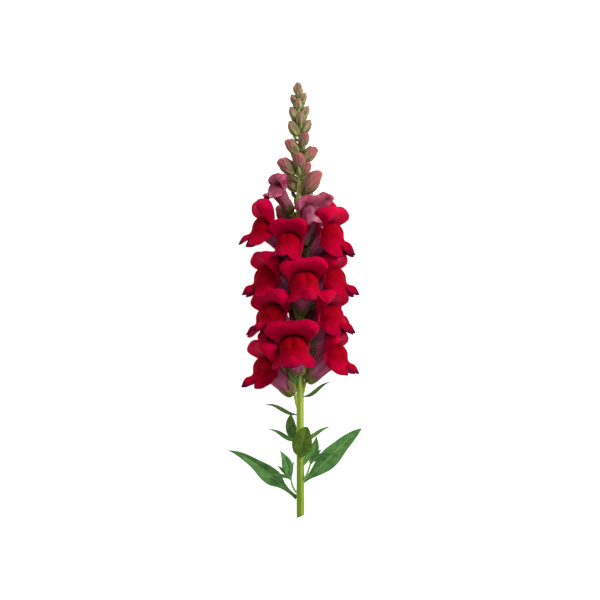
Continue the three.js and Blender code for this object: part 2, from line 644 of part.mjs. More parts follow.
const LEAVES = [
  // The two large leaves near the foot of the stem, left and right
  {
    line: [at(-2.4, 13.7, -0.8), at(-13, 21, -0.6), at(-29, 42.5, 7), at(-48.6, 45.2, 2)],
    width: 11.4,
    face: at(0.35, -0.5, 1),
    fold: 0.3,
    wave: 0.07,
    piece: 1,
  },
  {
    line: [at(2.4, 24.1, -0.8), at(14, 33.0, 0.4), at(26.5, 50.5, 7), at(41, 60.3, 2.4)],
    width: 12.6,
    face: at(-0.3, -0.45, 1),
    fold: 0.28,
    wave: 0.06,
    piece: 2,
  },
  // The broad one in front, which points up and towards the viewer
  {
    line: [at(0.2, 41.2, 2.2), at(0.2, 45, 6.5), at(1.6, 53, 13), at(4.4, 62.6, 14.5)],
    width: 14.4,
    face: at(-0.25, -0.65, 1),
    fold: 0.22,
    wave: 0.04,
    petiole: 0.2,
    peak: 1.25,
    blunt: 0.8,
    piece: 3,
  },
  // One behind the stem on the left
  {
    line: [at(-2.2, 50.5, -2.0), at(-5.2, 54, -4), at(-6.8, 62, -6.5), at(-6.2, 68.6, -8.5)],
    width: 8.2,
    face: at(-0.35, 0.3, 1),
    fold: 0.2,
    wave: 0.04,
    petiole: 0.34,
    piece: 4,
  },
  // Two narrow ones, left and right
  {
    line: [at(-2.2, 51.0, 0.8), at(-9, 52, 2.4), at(-13, 60.4, 5), at(-22.8, 59.4, 4)],
    width: 3.6,
    face: at(0.1, -0.6, 1),
    fold: 0.3,
    wave: 0.04,
    petiole: 0.5,
    piece: 5,
  },
  {
    line: [at(2.2, 51.2, -0.8), at(8.4, 53, 0), at(13, 61.2, 1.6), at(22.0, 61.0, 0)],
    width: 3.4,
    face: at(0.1, -0.6, 1),
    fold: 0.3,
    wave: 0.04,
    petiole: 0.5,
    piece: 6,
  },
  // Behind, towards the surface
  {
    line: [at(0.4, 33.2, -2.2), at(3, 38, -7), at(4, 47, -15), at(9, 56, -17)],
    width: 8.6,
    face: at(0.1, 0.7, 1),
    fold: 0.24,
    wave: 0.05,
    piece: 7,
  },
];

// Leafy side shoots, each a thin stalk with its leaves: the first in front of the left large leaf.
const SHOOTS = [
  {
    name: "side_shoot_left",
    stalk: [at(-2.2, 17.2, 1.4), at(-4.8, 20, 3), at(-5.6, 23.5, 3.6), at(-6.4, 29.5, 4.4)],
    leaves: [
      {
        line: [at(-5.9, 26.5, 4.0), at(-8, 33, 5.0), at(-9, 41, 8.5), at(-13.6, 46.2, 9.5)],
        width: 7.8,
        face: at(0.3, -0.2, 1),
      },
      {
        line: [at(-6.2, 27.5, 4.2), at(-9, 30.5, 5.4), at(-12.5, 34.5, 6), at(-15.8, 35.8, 6)],
        width: 2.8,
        face: at(0, -0.4, 1),
        petiole: 0.5,
      },
      {
        line: [at(-6.2, 28.0, 4.4), at(-6.4, 32, 5.6), at(-5.6, 36.5, 6.2), at(-3.6, 38.8, 6.4)],
        width: 2.8,
        face: at(0, -0.3, 1),
        petiole: 0.5,
      },
      {
        line: [at(-6.0, 26.5, 4.2), at(-9.5, 29, 6.4), at(-15, 31, 8), at(-19.5, 29.6, 7.8)],
        width: 3.2,
        face: at(0, -0.6, 1),
        petiole: 0.5,
      },
    ],
  },
  {
    name: "side_shoot_right",
    stalk: [at(2.2, 26.0, 1.4), at(5.2, 29, 3), at(5.8, 33, 4), at(8.0, 40.5, 5)],
    leaves: [
      {
        line: [at(6.8, 36.5, 4.4), at(11, 42.5, 6.5), at(17, 45.4, 9), at(25.4, 43.2, 8.5)],
        width: 4.4,
        face: at(0, -0.6, 1),
        petiole: 0.4,
      },
      {
        line: [at(7.6, 39, 4.8), at(8.8, 44, 5), at(11.2, 50, 5.6), at(10.8, 56, 6.5)],
        width: 6.4,
        face: at(-0.2, -0.2, 1),
      },
      {
        line: [at(7.6, 39, 4.8), at(10, 43, 7), at(12.5, 45.8, 8.5), at(14.8, 46.9, 9)],
        width: 2.6,
        face: at(0, -0.5, 1),
        petiole: 0.5,
      },
      {
        line: [at(6.8, 37, 4.4), at(6.6, 40.5, 5.4), at(6.4, 43.0, 5.4), at(7.0, 46.0, 5.0)],
        width: 2.8,
        face: at(0, -0.3, 1),
        petiole: 0.5,
      },
    ],
  },
];

// Bracts that stand out from the stem under the lowest blooms, drawn one by one.
const BRACTS = [
  {
    line: [at(-1.2, 69.5, 0.6), at(-9, 67.5, 2), at(-14, 78.5, 3), at(-24.8, 75.2, 2)],
    width: 3.6,
    face: at(0.1, -0.7, 1),
  },
  {
    line: [at(1.2, 81.4, 0.6), at(9, 80.0, 2), at(12.5, 90.5, 3), at(21.8, 91.3, 3)],
    width: 3.4,
    face: at(-0.1, -0.7, 1),
  },
  {
    line: [at(-0.4, 90.8, 0.6), at(-2, 91, 5), at(-5.6, 93.5, 8), at(-8.6, 99.5, 9)],
    width: 5.6,
    face: at(0, -0.5, 1),
  },
  {
    line: [at(1.2, 108.5, 0.6), at(5, 108, 2.4), at(8.5, 110, 3), at(11.6, 113.4, 2)],
    width: 3.2,
    face: at(-0.1, -0.6, 1),
  },
];
const BRACT_STEPS = 4;
const SMALL_LEAF_STEPS = 2;
const SHOOT_RADIUS = [0.8, 0.6]; // of its stalk, at the foot and at the end

const greens = [{ solid: mainStem(0), space: mainStem(GAP) }];
for (const bloom of BLOOMS) {
  const matrix = seat(bloom);
  greens.push({
    owner: bloom.name,
    solid: moved(calyx(GAP / bloom.size), matrix),
    space: moved(calyxSpace(GAP / bloom.size), matrix),
  });
  greens.push({
    owner: bloom.name,
    solid: pedicel(bloom, PEDICEL_RADIUS),
    space: pedicel(bloom, PEDICEL_RADIUS + GAP),
  });
}
for (const bud of BUDS) {
  const end = bud.shows ? budSplit(bud)[0] : BUD_END;
  const from = -0.1 - (bud.stalk ?? 0);
  const count = bud.stalk ? 4 : 3;
  const space = solidOf(loft(budRings(bud, from, end, GAP, count)));
  greens.push({
    owner: bud.name,
    solid: solidOf(loft(budRings(bud, from, end, 0, count))),
    space: bud.shows ? space.add(budPetals(bud, GAP)) : space,
  });
}
for (const bract of BRACTS) {
  const still = { ...bract, wave: 0 };
  greens.push({
    solid: leafSolid(still, BRACT_STEPS, BRACT_ACROSS),
    space: leafSolid(still, BRACT_STEPS, BRACT_ACROSS, GAP),
  });
}
const stem = greens.map((green) => green.solid).reduce((all, next) => all.add(next));

// Each corolla keeps clear of the green parts and of the corollas before it, and is pressed flat
// where it would reach below the surface.
function clearOfGreens(name, solid) {
  return greens
    .filter((green) => green.owner !== name && touching(solid, green.space))
    .reduce((clear, green) => clear.subtract(green.space), solid);
}
const petals = [];
for (const bloom of BLOOMS) {
  const matrix = seat(bloom);
  let solid = clearOfGreens(bloom.name, moved(corolla(bloom.form), matrix));
  for (const other of petals) {
    if (touching(solid, other.space)) solid = solid.subtract(other.space);
  }
  solid = oneBody(solid.trimByPlane([0, 0, 1], -STEM_ABOVE_SURFACE));
  const grown = moved(corolla(bloom.form, (2 * GAP) / bloom.size), matrix).simplify(SPACE_RELIEF);
  const colour = YOUNG_BLOOMS.includes(bloom) ? PINK : RED;
  petals.push({ name: bloom.name, solid, space: grown.add(solid), colour });
}

const root = new THREE.Group();
const spike = new THREE.Group();
root.add(spike);
spike.add(meshOf("stem", stem, GREEN, GREEN_ROUGHNESS, STEM_RELIEF));
petals.forEach(({ name, solid, colour }) => spike.add(meshOf(name, solid, colour, PETAL_ROUGHNESS)));
BUDS.filter((bud) => bud.shows).forEach((bud) => {
  let solid = clearOfGreens(bud.name, budPetals(bud));
  for (const other of petals) {
    if (touching(solid, other.space)) solid = solid.subtract(other.space);
  }
  spike.add(meshOf(bud.name, solid, PINK, PETAL_ROUGHNESS));
});
const STEM_SPACE = mainStem(GAP);
LEAVES.forEach((leaf, i) => {
  spike.add(meshOf(`leaf_${i + 1}`, leafSolid(leaf).subtract(STEM_SPACE), LEAF_GREEN, GREEN_ROUGHNESS));
});
SHOOTS.forEach((shoot, i) => {
  const whole = shoot.leaves
    .map((leaf, k) => {
      const rows = k < 2 ? BRACT_STEPS : SMALL_LEAF_STEPS;
      return leafSolid({ ...leaf, piece: 10 + i + k }, rows, BRACT_ACROSS);
    })
    .reduce((all, next) => all.add(next), stalk(shoot.stalk, (t) => mix(...SHOOT_RADIUS, t), 5, 3));
  spike.add(meshOf(shoot.name, whole.subtract(STEM_SPACE), LEAF_GREEN, GREEN_ROUGHNESS, SHOOT_RELIEF));
});

spike.updateMatrixWorld(true);
const box = new THREE.Box3().setFromObject(spike);
spike.position.set(-(box.min.x + box.max.x) / 2, -(box.min.y + box.max.y) / 2, STEM_ABOVE_SURFACE);
export default root;
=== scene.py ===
# %% [markdown]
# # A cut snapdragon spike, lying on a white table
#
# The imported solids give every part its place. Here each of them is made again as a finer surface
# from the same few curves: petals with a rolled margin and a furrowed palate, ribbed stems, leaves
# with a midrib and buds wrapped in five sepals.

import json

import bpy
import numpy as np
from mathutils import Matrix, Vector

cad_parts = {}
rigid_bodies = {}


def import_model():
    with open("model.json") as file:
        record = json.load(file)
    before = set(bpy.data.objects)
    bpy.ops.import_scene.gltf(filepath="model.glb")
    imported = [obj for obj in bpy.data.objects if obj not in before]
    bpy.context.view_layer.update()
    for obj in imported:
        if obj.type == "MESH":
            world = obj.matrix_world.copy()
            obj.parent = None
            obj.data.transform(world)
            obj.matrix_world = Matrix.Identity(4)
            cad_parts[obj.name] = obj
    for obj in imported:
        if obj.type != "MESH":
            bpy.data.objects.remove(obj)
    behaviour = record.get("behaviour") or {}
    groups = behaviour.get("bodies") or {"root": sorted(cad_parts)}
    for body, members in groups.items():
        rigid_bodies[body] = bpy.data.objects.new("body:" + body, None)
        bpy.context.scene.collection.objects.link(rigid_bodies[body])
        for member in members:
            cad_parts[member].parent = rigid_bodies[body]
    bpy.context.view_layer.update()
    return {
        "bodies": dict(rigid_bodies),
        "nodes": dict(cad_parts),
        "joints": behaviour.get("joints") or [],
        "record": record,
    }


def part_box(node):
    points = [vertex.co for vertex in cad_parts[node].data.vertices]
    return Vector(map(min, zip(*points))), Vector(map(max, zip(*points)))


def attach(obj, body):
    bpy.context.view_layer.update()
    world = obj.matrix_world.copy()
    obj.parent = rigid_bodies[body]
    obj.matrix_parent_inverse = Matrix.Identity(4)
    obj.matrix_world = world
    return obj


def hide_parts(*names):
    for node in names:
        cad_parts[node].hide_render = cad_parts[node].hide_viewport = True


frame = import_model()

# %% [markdown]
# ## One frame for everything
#
# All curves below are in millimetres, measured from the middle of the stem's cut end: Y runs up the
# stem, X to the right and Z towards the viewer. `placed` brings such points to the row frame, in
# metres, and presses flat what would reach below the table.

# %% Places
MM = 0.001
CUT_END = np.array([3.6342, -145.3952, 32.0])  # the middle of the stem's cut end in the row frame
PRESS = 0.4  # how softly a petal flattens on the table


def placed(points):
    moved = points + CUT_END
    z = moved[..., 2]
    moved[..., 2] = (z + np.sqrt(z * z + PRESS**2)) / 2
    return moved * MM


print("the middle of the cut end stands at", CUT_END.round(1).tolist(), "mm")

# %% [markdown]
# ## Small helpers for shapes
#
# A few numbers, read off one by one, describe each part. `flow` draws a smooth curve through them,
# so that a table with four rows is enough for a petal.

# %% Curves
def mix(a, b, share):
    return a + (b - a) * share


def smooth(value, low, high):
    share = np.clip((value - low) / (high - low), 0, 1)
    return share * share * (3 - 2 * share)


def bell(value, centre, width):
    return np.exp(-(((value - centre) / width) ** 2))


def flow(knots, rows, at):
    """Reads a smooth curve through rows of values that stand at the knots."""
    knots, rows, at = (np.asarray(value, float) for value in (knots, rows, at))
    gaps = np.diff(knots).reshape([-1] + [1] * (rows.ndim - 1))
    slopes = np.diff(rows, axis=0) / gaps
    inner = (slopes[:-1] * gaps[1:] + slopes[1:] * gaps[:-1]) / (gaps[:-1] + gaps[1:])
    tangents = np.concatenate([slopes[:1], inner, slopes[-1:]])
    i = np.clip(np.searchsorted(knots, at, side="right") - 1, 0, len(knots) - 2)
    shape = list(at.shape) + [1] * (rows.ndim - 1)
    t = np.clip((at - knots[i]) / (knots[i + 1] - knots[i]), 0, 1).reshape(shape)
    width = (knots[i + 1] - knots[i]).reshape(shape)
    start, end = (1 + 2 * t) * (1 - t) ** 2, t * t * (3 - 2 * t)
    bent = t * (1 - t) ** 2 * tangents[i] - t * t * (1 - t) * tangents[i + 1]
    return start * rows[i] + end * rows[i + 1] + width * bent


print(f"a curve through 0, 1 and 0 is at {flow([0, 1, 2], [0, 1, 0], 0.5):.2f} halfway to its top")

# %% [markdown]
# ## Meshes from grids
#
# Most parts are lofts: rows of points, each row closed into a ring or left open. `Shape` collects
# such grids with named values at every point (how far out on a petal, how far round it), which the
# finishes read later, and turns them into one smooth-shaded piece.

# %% The shape collector
def quads(number):
    """Faces between neighbours in a grid of point numbers."""
    a, b, c, d = number[:-1, :-1], number[:-1, 1:], number[1:, 1:], number[1:, :-1]
    return np.stack([a, b, c, d], -1).reshape(-1, 4)


class Shape:
    def __init__(self):
        self.points, self.faces, self.values, self.count = [], [], {}, 0

    def add(self, points, faces, **values):
        """Adds points and faces, with named values at the points; a missing value is 0."""
        flat = np.asarray(points, float).reshape(-1, 3)
        for name in sorted({*values, *self.values}):
            known = self.values.setdefault(name, [np.zeros(self.count)])
            value = values.get(name, 0.0)
            known.append(np.broadcast_to(value, np.shape(points)[:-1]).reshape(-1).astype(float))
        self.points.append(flat)
        self.faces.append(np.asarray(faces, int) + self.count)
        self.count += len(flat)

    def grid(self, points, closed=False, caps=False, **values):
        """Adds rows of points, each row closed into a ring and the ends capped if asked."""
        rows, columns = points.shape[:2]
        number = np.arange(rows * columns).reshape(rows, columns)
        if closed:
            number = np.concatenate([number, number[:, :1]], axis=1)
        faces = [quads(number)]
        if caps:
            middles = np.stack([points[0].mean(0), points[-1].mean(0)])[:, None]
            points = np.concatenate([points, np.broadcast_to(middles, (2, columns, 3))])
            for name, value in values.items():
                spread = np.broadcast_to(value, (rows, columns))
                values[name] = np.concatenate([spread, spread[:1], spread[-1:]])
            first, last = number[0], number[-1]
            low = np.full(len(first) - 1, rows * columns)
            high = low + columns
            faces.append(np.stack([first[:-1], low, low, first[1:]], -1))
            faces.append(np.stack([last[:-1], last[1:], high, high], -1))
        self.add(points, np.concatenate(faces), **values)

    def piece(self, name, finish, nodes, slot):
        """One smooth-shaded piece of all that was added, which stands for the nodes' solids."""
        points = placed(np.concatenate(self.points))
        faces = [list(dict.fromkeys(face)) for face in np.concatenate(self.faces).tolist()]
        mesh = bpy.data.meshes.new(name)
        mesh.from_pydata(points.tolist(), [], [face for face in faces if len(face) > 2])
        mesh.validate()
        mesh.shade_smooth()
        for key, parts in self.values.items():
            attribute = mesh.attributes.new(key, "FLOAT", "POINT")
            attribute.data.foreach_set("value", np.concatenate(parts).astype(np.float32))
        mesh.materials.append(finish)
        made = bpy.data.objects.new(name, mesh)
        bpy.context.scene.collection.objects.link(made)
        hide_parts(*nodes)
        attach(made, "root")
        return made


print("a grid of 3 by 4 points has", len(quads(np.arange(12).reshape(3, 4))), "faces")

# %% [markdown]
# ## Finishes written as formulas
#
# A shader is a graph of small nodes. To keep it readable, a wrapped socket can be added, multiplied
# and raised like a number, so `1 - edge ** 2` builds the nodes that it says.

# %% Colours and sockets
def colour(red, green, blue):
    """A screen colour from 0 to 255, as the linear light the shader works in."""
    shares = (red / 255, green / 255, blue / 255)
    return (*(c / 12.92 if c <= 0.04045 else ((c + 0.055) / 1.055) ** 2.4 for c in shares), 1.0)


class Value:
    """An output socket that can be used in a formula."""

    def __init__(self, finish, socket):
        self.finish, self.socket = finish, socket

    def math(self, operation, *values):
        return self.finish.node("ShaderNodeMath", {"operation": operation}, dict(enumerate(values)))

    def __add__(self, other):
        return self.math("ADD", self, other)

    def __sub__(self, other):
        return self.math("SUBTRACT", self, other)

    def __rsub__(self, other):
        return self.math("SUBTRACT", other, self)

    def __mul__(self, other):
        return self.math("MULTIPLY", self, other)

    def __pow__(self, power):
        return self.math("POWER", self, power)

    __radd__, __rmul__ = __add__, __mul__

    def sine(self):
        return self.math("SINE", self)

    def size(self):
        return self.math("ABSOLUTE", self)

    def step(self, low, high):
        """0 below low, 1 above high and a smooth rise between them."""
        limits = {"Value": self, "From Min": low, "From Max": high}
        return self.finish.node("ShaderNodeMapRange", {"interpolation_type": "SMOOTHSTEP"}, limits)


print("mid grey on the screen is", round(colour(128, 128, 128)[0], 3), "in the shader's light")

# %% [markdown]
# A finish is one material with its shader. Plant tissue is soft and hardly glossy, so every finish
# starts from weak reflections. Those of the plant add a little sheen, which stands for its down.

# %% The finish writer
class Finish:
    def __init__(self, name, roughness, sheen=0.0, tint=None):
        self.material = bpy.data.materials.new(name)
        self.material.use_nodes = True
        self.tree = self.material.node_tree
        self.shader = self.tree.nodes["Principled BSDF"]
        self.shader.inputs["Roughness"].default_value = roughness
        self.shader.inputs["Specular IOR Level"].default_value = 0.1
        self.shader.inputs["IOR"].default_value = 1.2
        self.shader.inputs["Sheen Weight"].default_value = sheen
        self.shader.inputs["Sheen Roughness"].default_value = 0.4
        if tint:
            self.shader.inputs["Sheen Tint"].default_value = tint

    def node(self, kind, settings=None, values=None, output=0):
        """A node of any kind: its settings come first, then the values or links of its sockets."""
        made = self.tree.nodes.new(kind)
        for key, value in (settings or {}).items():
            setattr(made, key, value)
        for key, value in (values or {}).items():
            self.join(value, made.inputs[key])
        return Value(self, made.outputs[output])

    def join(self, value, socket):
        if isinstance(value, Value):
            self.tree.links.new(value.socket, socket)
        else:
            socket.default_value = value

    def value(self, name):
        return self.node("ShaderNodeAttribute", {"attribute_name": name}, output="Fac")

    def where(self):
        return self.node("ShaderNodeTexCoord", output="Object")

    def vector(self, x, y, z):
        return self.node("ShaderNodeCombineXYZ", {}, {0: x, 1: y, 2: z})

    def noise(self, vector, scale, detail=2.0):
        values = {"Vector": vector, "Scale": scale, "Detail": detail}
        return self.node("ShaderNodeTexNoise", {}, values)

    def blend(self, share, a, b):
        kind = {"data_type": "RGBA", "clamp_factor": True}
        return self.node("ShaderNodeMix", kind, {0: share, 6: a, 7: b}, output=2)

    def base(self, value):
        self.join(value, self.shader.inputs["Base Color"])
        return self

    def relief(self, height, depth):
        bump = self.node("ShaderNodeBump", {}, {"Height": height, "Distance": depth * MM, "Strength": 1.0})
        self.join(bump, self.shader.inputs["Normal"])
        return self


# %% [markdown]
# ## The petals' colour
#
# The face of an open bloom is deep red: orange-red on the palate, crimson on the lobes and violet
# where the middle lobe ends in a hook. Painted shade darkens the mouth, and the violet margin carries
# painted sheen, strongest along the hood's rolled lobes. Outside, the petals fade through mauve to a
# pink tube with paler streaks. Veins run from the mouth to the margin, so they follow the petal's own
# directions, and clouds and a fine grain break up the tone as down and creases do. One formula with
# three sets of tones serves open blooms, young blooms and the tips of buds.

# %% Petal finishes
def petal_finish(name, tones, roughness, sheen, tint, veining=0.3, clouding=0.35, throat_shade=0.75, shade_reach=0.34):
    """The last two say how dark the painted shade in the mouth is and how far out on the petal it reaches.
    """
    f = Finish(name, roughness, sheen, tint)
    keys = ("out", "turn", "back", "hood", "piece", "hook")
    out, turn, back, hood, piece, hook = (f.value(key) for key in keys)
    streaks = f.noise(f.vector(turn * 9.0, out * 0.9 + back * 0.9, piece * 20.0), 3.0, 3.0)
    veins = f.noise(f.vector(turn * 40.0, out * 0.8, piece * 20.0), 3.0, 2.0)
    cloud = f.noise(f.where(), 160.0, 3.0)
    grain = f.noise(f.where(), 640.0, 2.0)

    # The face: palate and lobes, their variations, painted shade in the mouth, the margin with painted sheen
    lobes = f.blend(hood, tones["lip"], tones["hood"])
    face = f.blend(out.step(0.46, 0.72) + hood, tones["palate"], lobes)
    face = f.blend(veins.step(0.5, 0.75) * veining, face, tones["vein"])
    face = f.blend(cloud.step(0.42, 0.72) * clouding, face, tones["light"])
    face = f.blend((1 - cloud.step(0.3, 0.46)) * clouding * 0.6, face, tones["deep"])
    # Painted shade in the mouth, under the hood and over the top of the palate
    face = f.blend((1 - out.step(0.0, shade_reach)) * (1 - hood * 0.35) * throat_shade, face, tones["deep"])
    face = f.blend(grain.step(0.42, 0.66) * 0.26, face, tones["vein"])
    # The violet margin, with painted sheen that is strongest along the hood's rolled edges
    rim = out.step(0.92, 1.0) * (0.35 + 0.35 * hood)
    face = f.blend(rim, face, tones["margin"])
    face = f.blend(out.step(0.84, 0.97) * hook, face, tones["hook"])
    mouth = out.step(0.02, 0.05) * (1 - out.step(0.08, 0.15)) * turn.size().step(0.32, 0.45)
    face = f.blend(mouth * hood * 0.6, face, tones["streak"])

    # The back, from the margin to the foot of the tube
    outside = f.blend(back.step(0.3, 0.66), tones["outside"], tones["tube"])
    outside = f.blend(streaks.step(0.46, 0.68) * back.step(0.25, 0.6) * 0.6, outside, tones["streak"])
    outside = f.blend(veins.step(0.52, 0.7) * veining, outside, tones["vein"])
    outside = f.blend((1 - back.step(0.1, 0.3)) * hook, outside, tones["hook"])
    f.base(f.blend(back.step(0.0, 0.06), face, outside))
    f.relief(veins * 0.6 + cloud * 0.5 + streaks * back * 0.6, 0.35)
    return f.material


TONES = {  # screen colours for open blooms, young blooms and the tips of buds
    "palate": [(162, 0, 18), (206, 96, 128), (200, 118, 116)],
    # deep: dark clouds, and the painted shade in the mouth
    "deep": [(80, 0, 10), (104, 2, 38), (150, 50, 80)],
    "lip": [(182, 0, 42), (210, 104, 132), (200, 122, 118)],
    "hood": [(198, 0, 54), (196, 84, 114), (194, 112, 112)],
    "light": [(200, 0, 56), (232, 146, 168), (228, 168, 156)],
    "vein": [(98, 0, 28), (112, 18, 58), (136, 58, 76)],
    # margin: the violet edge, with painted sheen along the rolled lobes of the hood
    "margin": [(122, 12, 92), (112, 32, 72), (170, 70, 96)],
    "hook": [(62, 10, 52), (88, 30, 62), (160, 60, 90)],
    "outside": [(150, 4, 56), (170, 68, 104), (188, 108, 106)],
    "tube": [(178, 88, 124), (156, 84, 100), (176, 104, 104)],
    "streak": [(214, 122, 152), (206, 140, 144), (226, 164, 152)],
}
RED_TONES, PINK_TONES, BUD_TONES = (
    {name: colour(*row[kind]) for name, row in TONES.items()} for kind in range(3)
)
VIOLET = colour(150, 96, 214)
ROSE = colour(230, 150, 200)
petal_red = petal_finish("red petal", RED_TONES, 0.8, 0.03, VIOLET)
# Young blooms have deeper painted shade in the mouth, which reaches further out
petal_pink = petal_finish(
    "pink petal", PINK_TONES, 0.65, 0.15, ROSE, veining=0.9, clouding=0.8, throat_shade=0.95, shade_reach=0.95
)
petal_bud = petal_finish("bud petal", BUD_TONES, 0.6, 0.15, ROSE, veining=0.75, clouding=0.6)
print("a petal finish has", len(petal_red.node_tree.nodes), "nodes")

# %% [markdown]
# ## The greens
#
# The stem is yellow-green, deepest at the foot and palest near the tip, with darker furrows and
# fine down. Leaves are darker, with a pale midrib and side veins that leave it at a slant. The
# calyces are olive with a brown-pink tip and dark specks, and those of the buds have a cream edge.

# %% Green finishes
def stem_finish():
    f = Finish("stem", 0.5, 0.15)
    ridge, along = f.value("ridge"), f.value("along")
    fibres = f.noise(f.vector(f.value("turn") * 30.0, along * 6.0, 0.0), 2.0, 3.0)
    down = f.noise(f.where(), 1400.0, 2.0)
    tone = f.blend(along.step(0.08, 0.3), colour(138, 168, 44), colour(190, 212, 92))
    tone = f.blend(along.step(0.55, 0.8), tone, colour(206, 210, 124))
    tone = f.blend((1 - ridge) * 0.55, tone, colour(104, 134, 42))
    tone = f.blend(fibres.step(0.45, 0.7) * 0.4, tone, colour(200, 212, 116))
    tone = f.blend(f.value("cut"), tone, colour(206, 214, 150))
    f.base(tone)
    f.relief(fibres * 0.5 + down * 0.4, 0.12)
    return f.material


def calyx_finish(name, base, light, middle, edge, tip):
    f = Finish(name, 0.6, 0.25, colour(220, 220, 160))
    along, side, piece = f.value("along"), f.value("side"), f.value("piece")
    cloud = f.noise(f.where(), 260.0, 3.0)
    down = f.noise(f.where(), 1700.0, 2.0)
    speckle = f.noise(f.where(), 900.0, 3.0)
    tone = f.blend(cloud.step(0.35, 0.65), base, light)
    tone = f.blend((1 - side.size().step(0.1, 0.75)) * along.step(0.1, 0.5) * 0.7, tone, middle)
    tone = f.blend(side.size() ** 3.0 * 0.8, tone, edge)
    tone = f.blend(along.step(0.45, 0.98) * 0.7, tone, tip)
    tone = f.blend(piece * 0.3, tone, middle)
    tone = f.blend(speckle.step(0.44, 0.62) * 0.32, tone, colour(72, 62, 40))
    f.base(tone)
    f.relief(cloud * 0.4 + down * 0.5, 0.2)
    return f.material


def leaf_finish(name, top, under, shade):
    f = Finish(name, 0.48, 0.1)
    along, side, upper = f.value("along"), f.value("side"), f.value("upper")
    cloud = f.noise(f.where(), 220.0, 3.0)
    veins = ((along * 62.0 - side.size() * 9.0).sine() * 0.5 + 0.5) ** 8.0
    rib = 1 - side.size().step(0.02, 0.09)
    tone = f.blend(cloud.step(0.35, 0.68), top, shade)
    tone = f.blend((veins * 0.18 + rib * 0.65) * (1 - along.step(0.75, 1.0) * 0.6), tone, under)
    tone = f.blend((1 - upper) * 0.7, tone, under)
    f.base(tone)
    f.relief(cloud * 0.4 - veins * 0.35, 0.25)
    return f.material


stem_green = stem_finish()
calyx_green = calyx_finish(
    "calyx",
    base=colour(112, 120, 52),
    light=colour(148, 152, 82),
    middle=colour(104, 84, 58),
    edge=colour(84, 80, 42),
    tip=colour(152, 100, 92),
)
bud_green = calyx_finish(
    "bud calyx",
    base=colour(130, 148, 62),
    light=colour(178, 180, 106),
    middle=colour(122, 92, 88),
    edge=colour(222, 220, 164),
    tip=colour(176, 122, 116),
)
leaf_green = leaf_finish("leaf", colour(102, 156, 82), colour(158, 190, 116), colour(76, 128, 70))
olive_leaf = leaf_finish("olive leaf", colour(114, 148, 50), colour(152, 172, 88), colour(88, 118, 42))
bract_green = leaf_finish("bract", colour(112, 150, 70), colour(168, 184, 112), colour(72, 116, 78))
print("a leaf finish has", len(leaf_green.node_tree.nodes), "nodes")

# %% [markdown]
# ## How a bloom is built
#
# A snapdragon bloom is a tube that ends in a closed mouth. The lower lip swells into a palate of
# two humps and flares into three lobes, drawn here like the meridians of a bell: a point of it is
# found from its angle round the palate and its share of the way out. All of it is drawn in the
# bloom's own frame: x leads away from the stem, z towards the tip and y sideways.

# %% The lower lip
PALATE_TOP = np.array([18.6, 0.0, 24.0])
CORNER = 110.0  # degrees round the palate, where the lip ends and the hood starts
# Each lobe's middle line, out from the palate's top and down from it, at these shares of the way
SHARES = [-0.2, 0, 0.2, 0.42, 0.62, 0.82, 1]
SIDE_LOBE = [[-5.6, 1.2], [0, 0], [5.6, 1.2], [9.2, 6.2], [9.7, 12.2], [12.6, 17.0], [16.4, 20.6]]
MIDDLE_LOBE = [[-5.4, 1.3], [0, 0], [5.4, 1.3], [9.0, 6.4], [10.6, 11.8], [15.4, 14.2], [17.8, 19.8]]
CORNER_LOBE = [[-5.4, 1.4], [0, 0], [5.4, 1.4], [8.4, 5.6], [8.8, 9.2], [9.4, 11.2], [10.4, 13.2]]
CORNER_FROM = 54  # degrees, where the side lobe starts to turn into the corner
CLEFT_ANGLE, CLEFT_WIDTH = 26.0, 8  # the clefts on either side of the middle lobe, in degrees
FURROW_WIDTH, FURROW_DEPTH = 13, 0.13  # between the palate's humps: degrees, and a share of the way
ROOT_SHARE = 0.6  # how far out a cleft or a shut lip ends


def lip_point(form, angle, share):
    """Points of the lower lip at angles round the palate, in degrees, and shares of the way out."""
    angle, share = np.broadcast_arrays(np.asarray(angle, float), np.asarray(share, float))
    off = abs(angle)
    lobes = (SIDE_LOBE, MIDDLE_LOBE, CORNER_LOBE)
    side, middle, corner = (flow(SHARES, rows, share) for rows in lobes)
    line = mix(side, middle, bell(off, 0, form["strip"])[..., None])
    line = mix(line, corner, smooth(off, CORNER_FROM, CORNER)[..., None])
    shut = smooth(share, 0.6, 1) * (1 - form["lip"])
    cut = form["cleft"] * smooth(share, 0.7, 1) * bell(off, CLEFT_ANGLE, CLEFT_WIDTH)
    root = flow(SHARES, SIDE_LOBE, ROOT_SHARE)
    line = mix(line, root, np.minimum(1, shut + cut)[..., None])
    furrow = 1 - FURROW_DEPTH * bell(off, 0, FURROW_WIDTH) * (1 - smooth(share, 0.3, 0.66))
    narrow = mix(1, np.where(angle < 0, form["left"], form["right"]), smooth(share, 0.6, 1) * 0.6)
    narrow = narrow * mix(1, form["slim"], smooth(share, 0.3, 0.8))
    turn = np.radians(angle)
    out = line[..., 0] * furrow
    down = line[..., 1] * mix(1, form["long"], smooth(share, 0.5, 1))
    return PALATE_TOP + np.stack([out * np.cos(turn), out * np.sin(turn) * narrow, -down], -1)


print("the middle lobe ends", MIDDLE_LOBE[-1][1], "mm below the palate's top")

# %% [markdown]
# The hood starts at the outermost lines of the lip, on either side of the mouth, climbs outwards
# and rolls back in two lobes. Nine lines run over it from left to right, and each is bent through
# four points. Their height and width follow the photograph, and their depth is a guess.

# %% The hood
HOOD_LINES = [-4, -3, -2, -1, 0, 1, 2, 3, 4]
HOOD_STARTS = [0, 0.2, 0.42, 0.68, 1]  # where the lines from the middle outwards leave the mouth
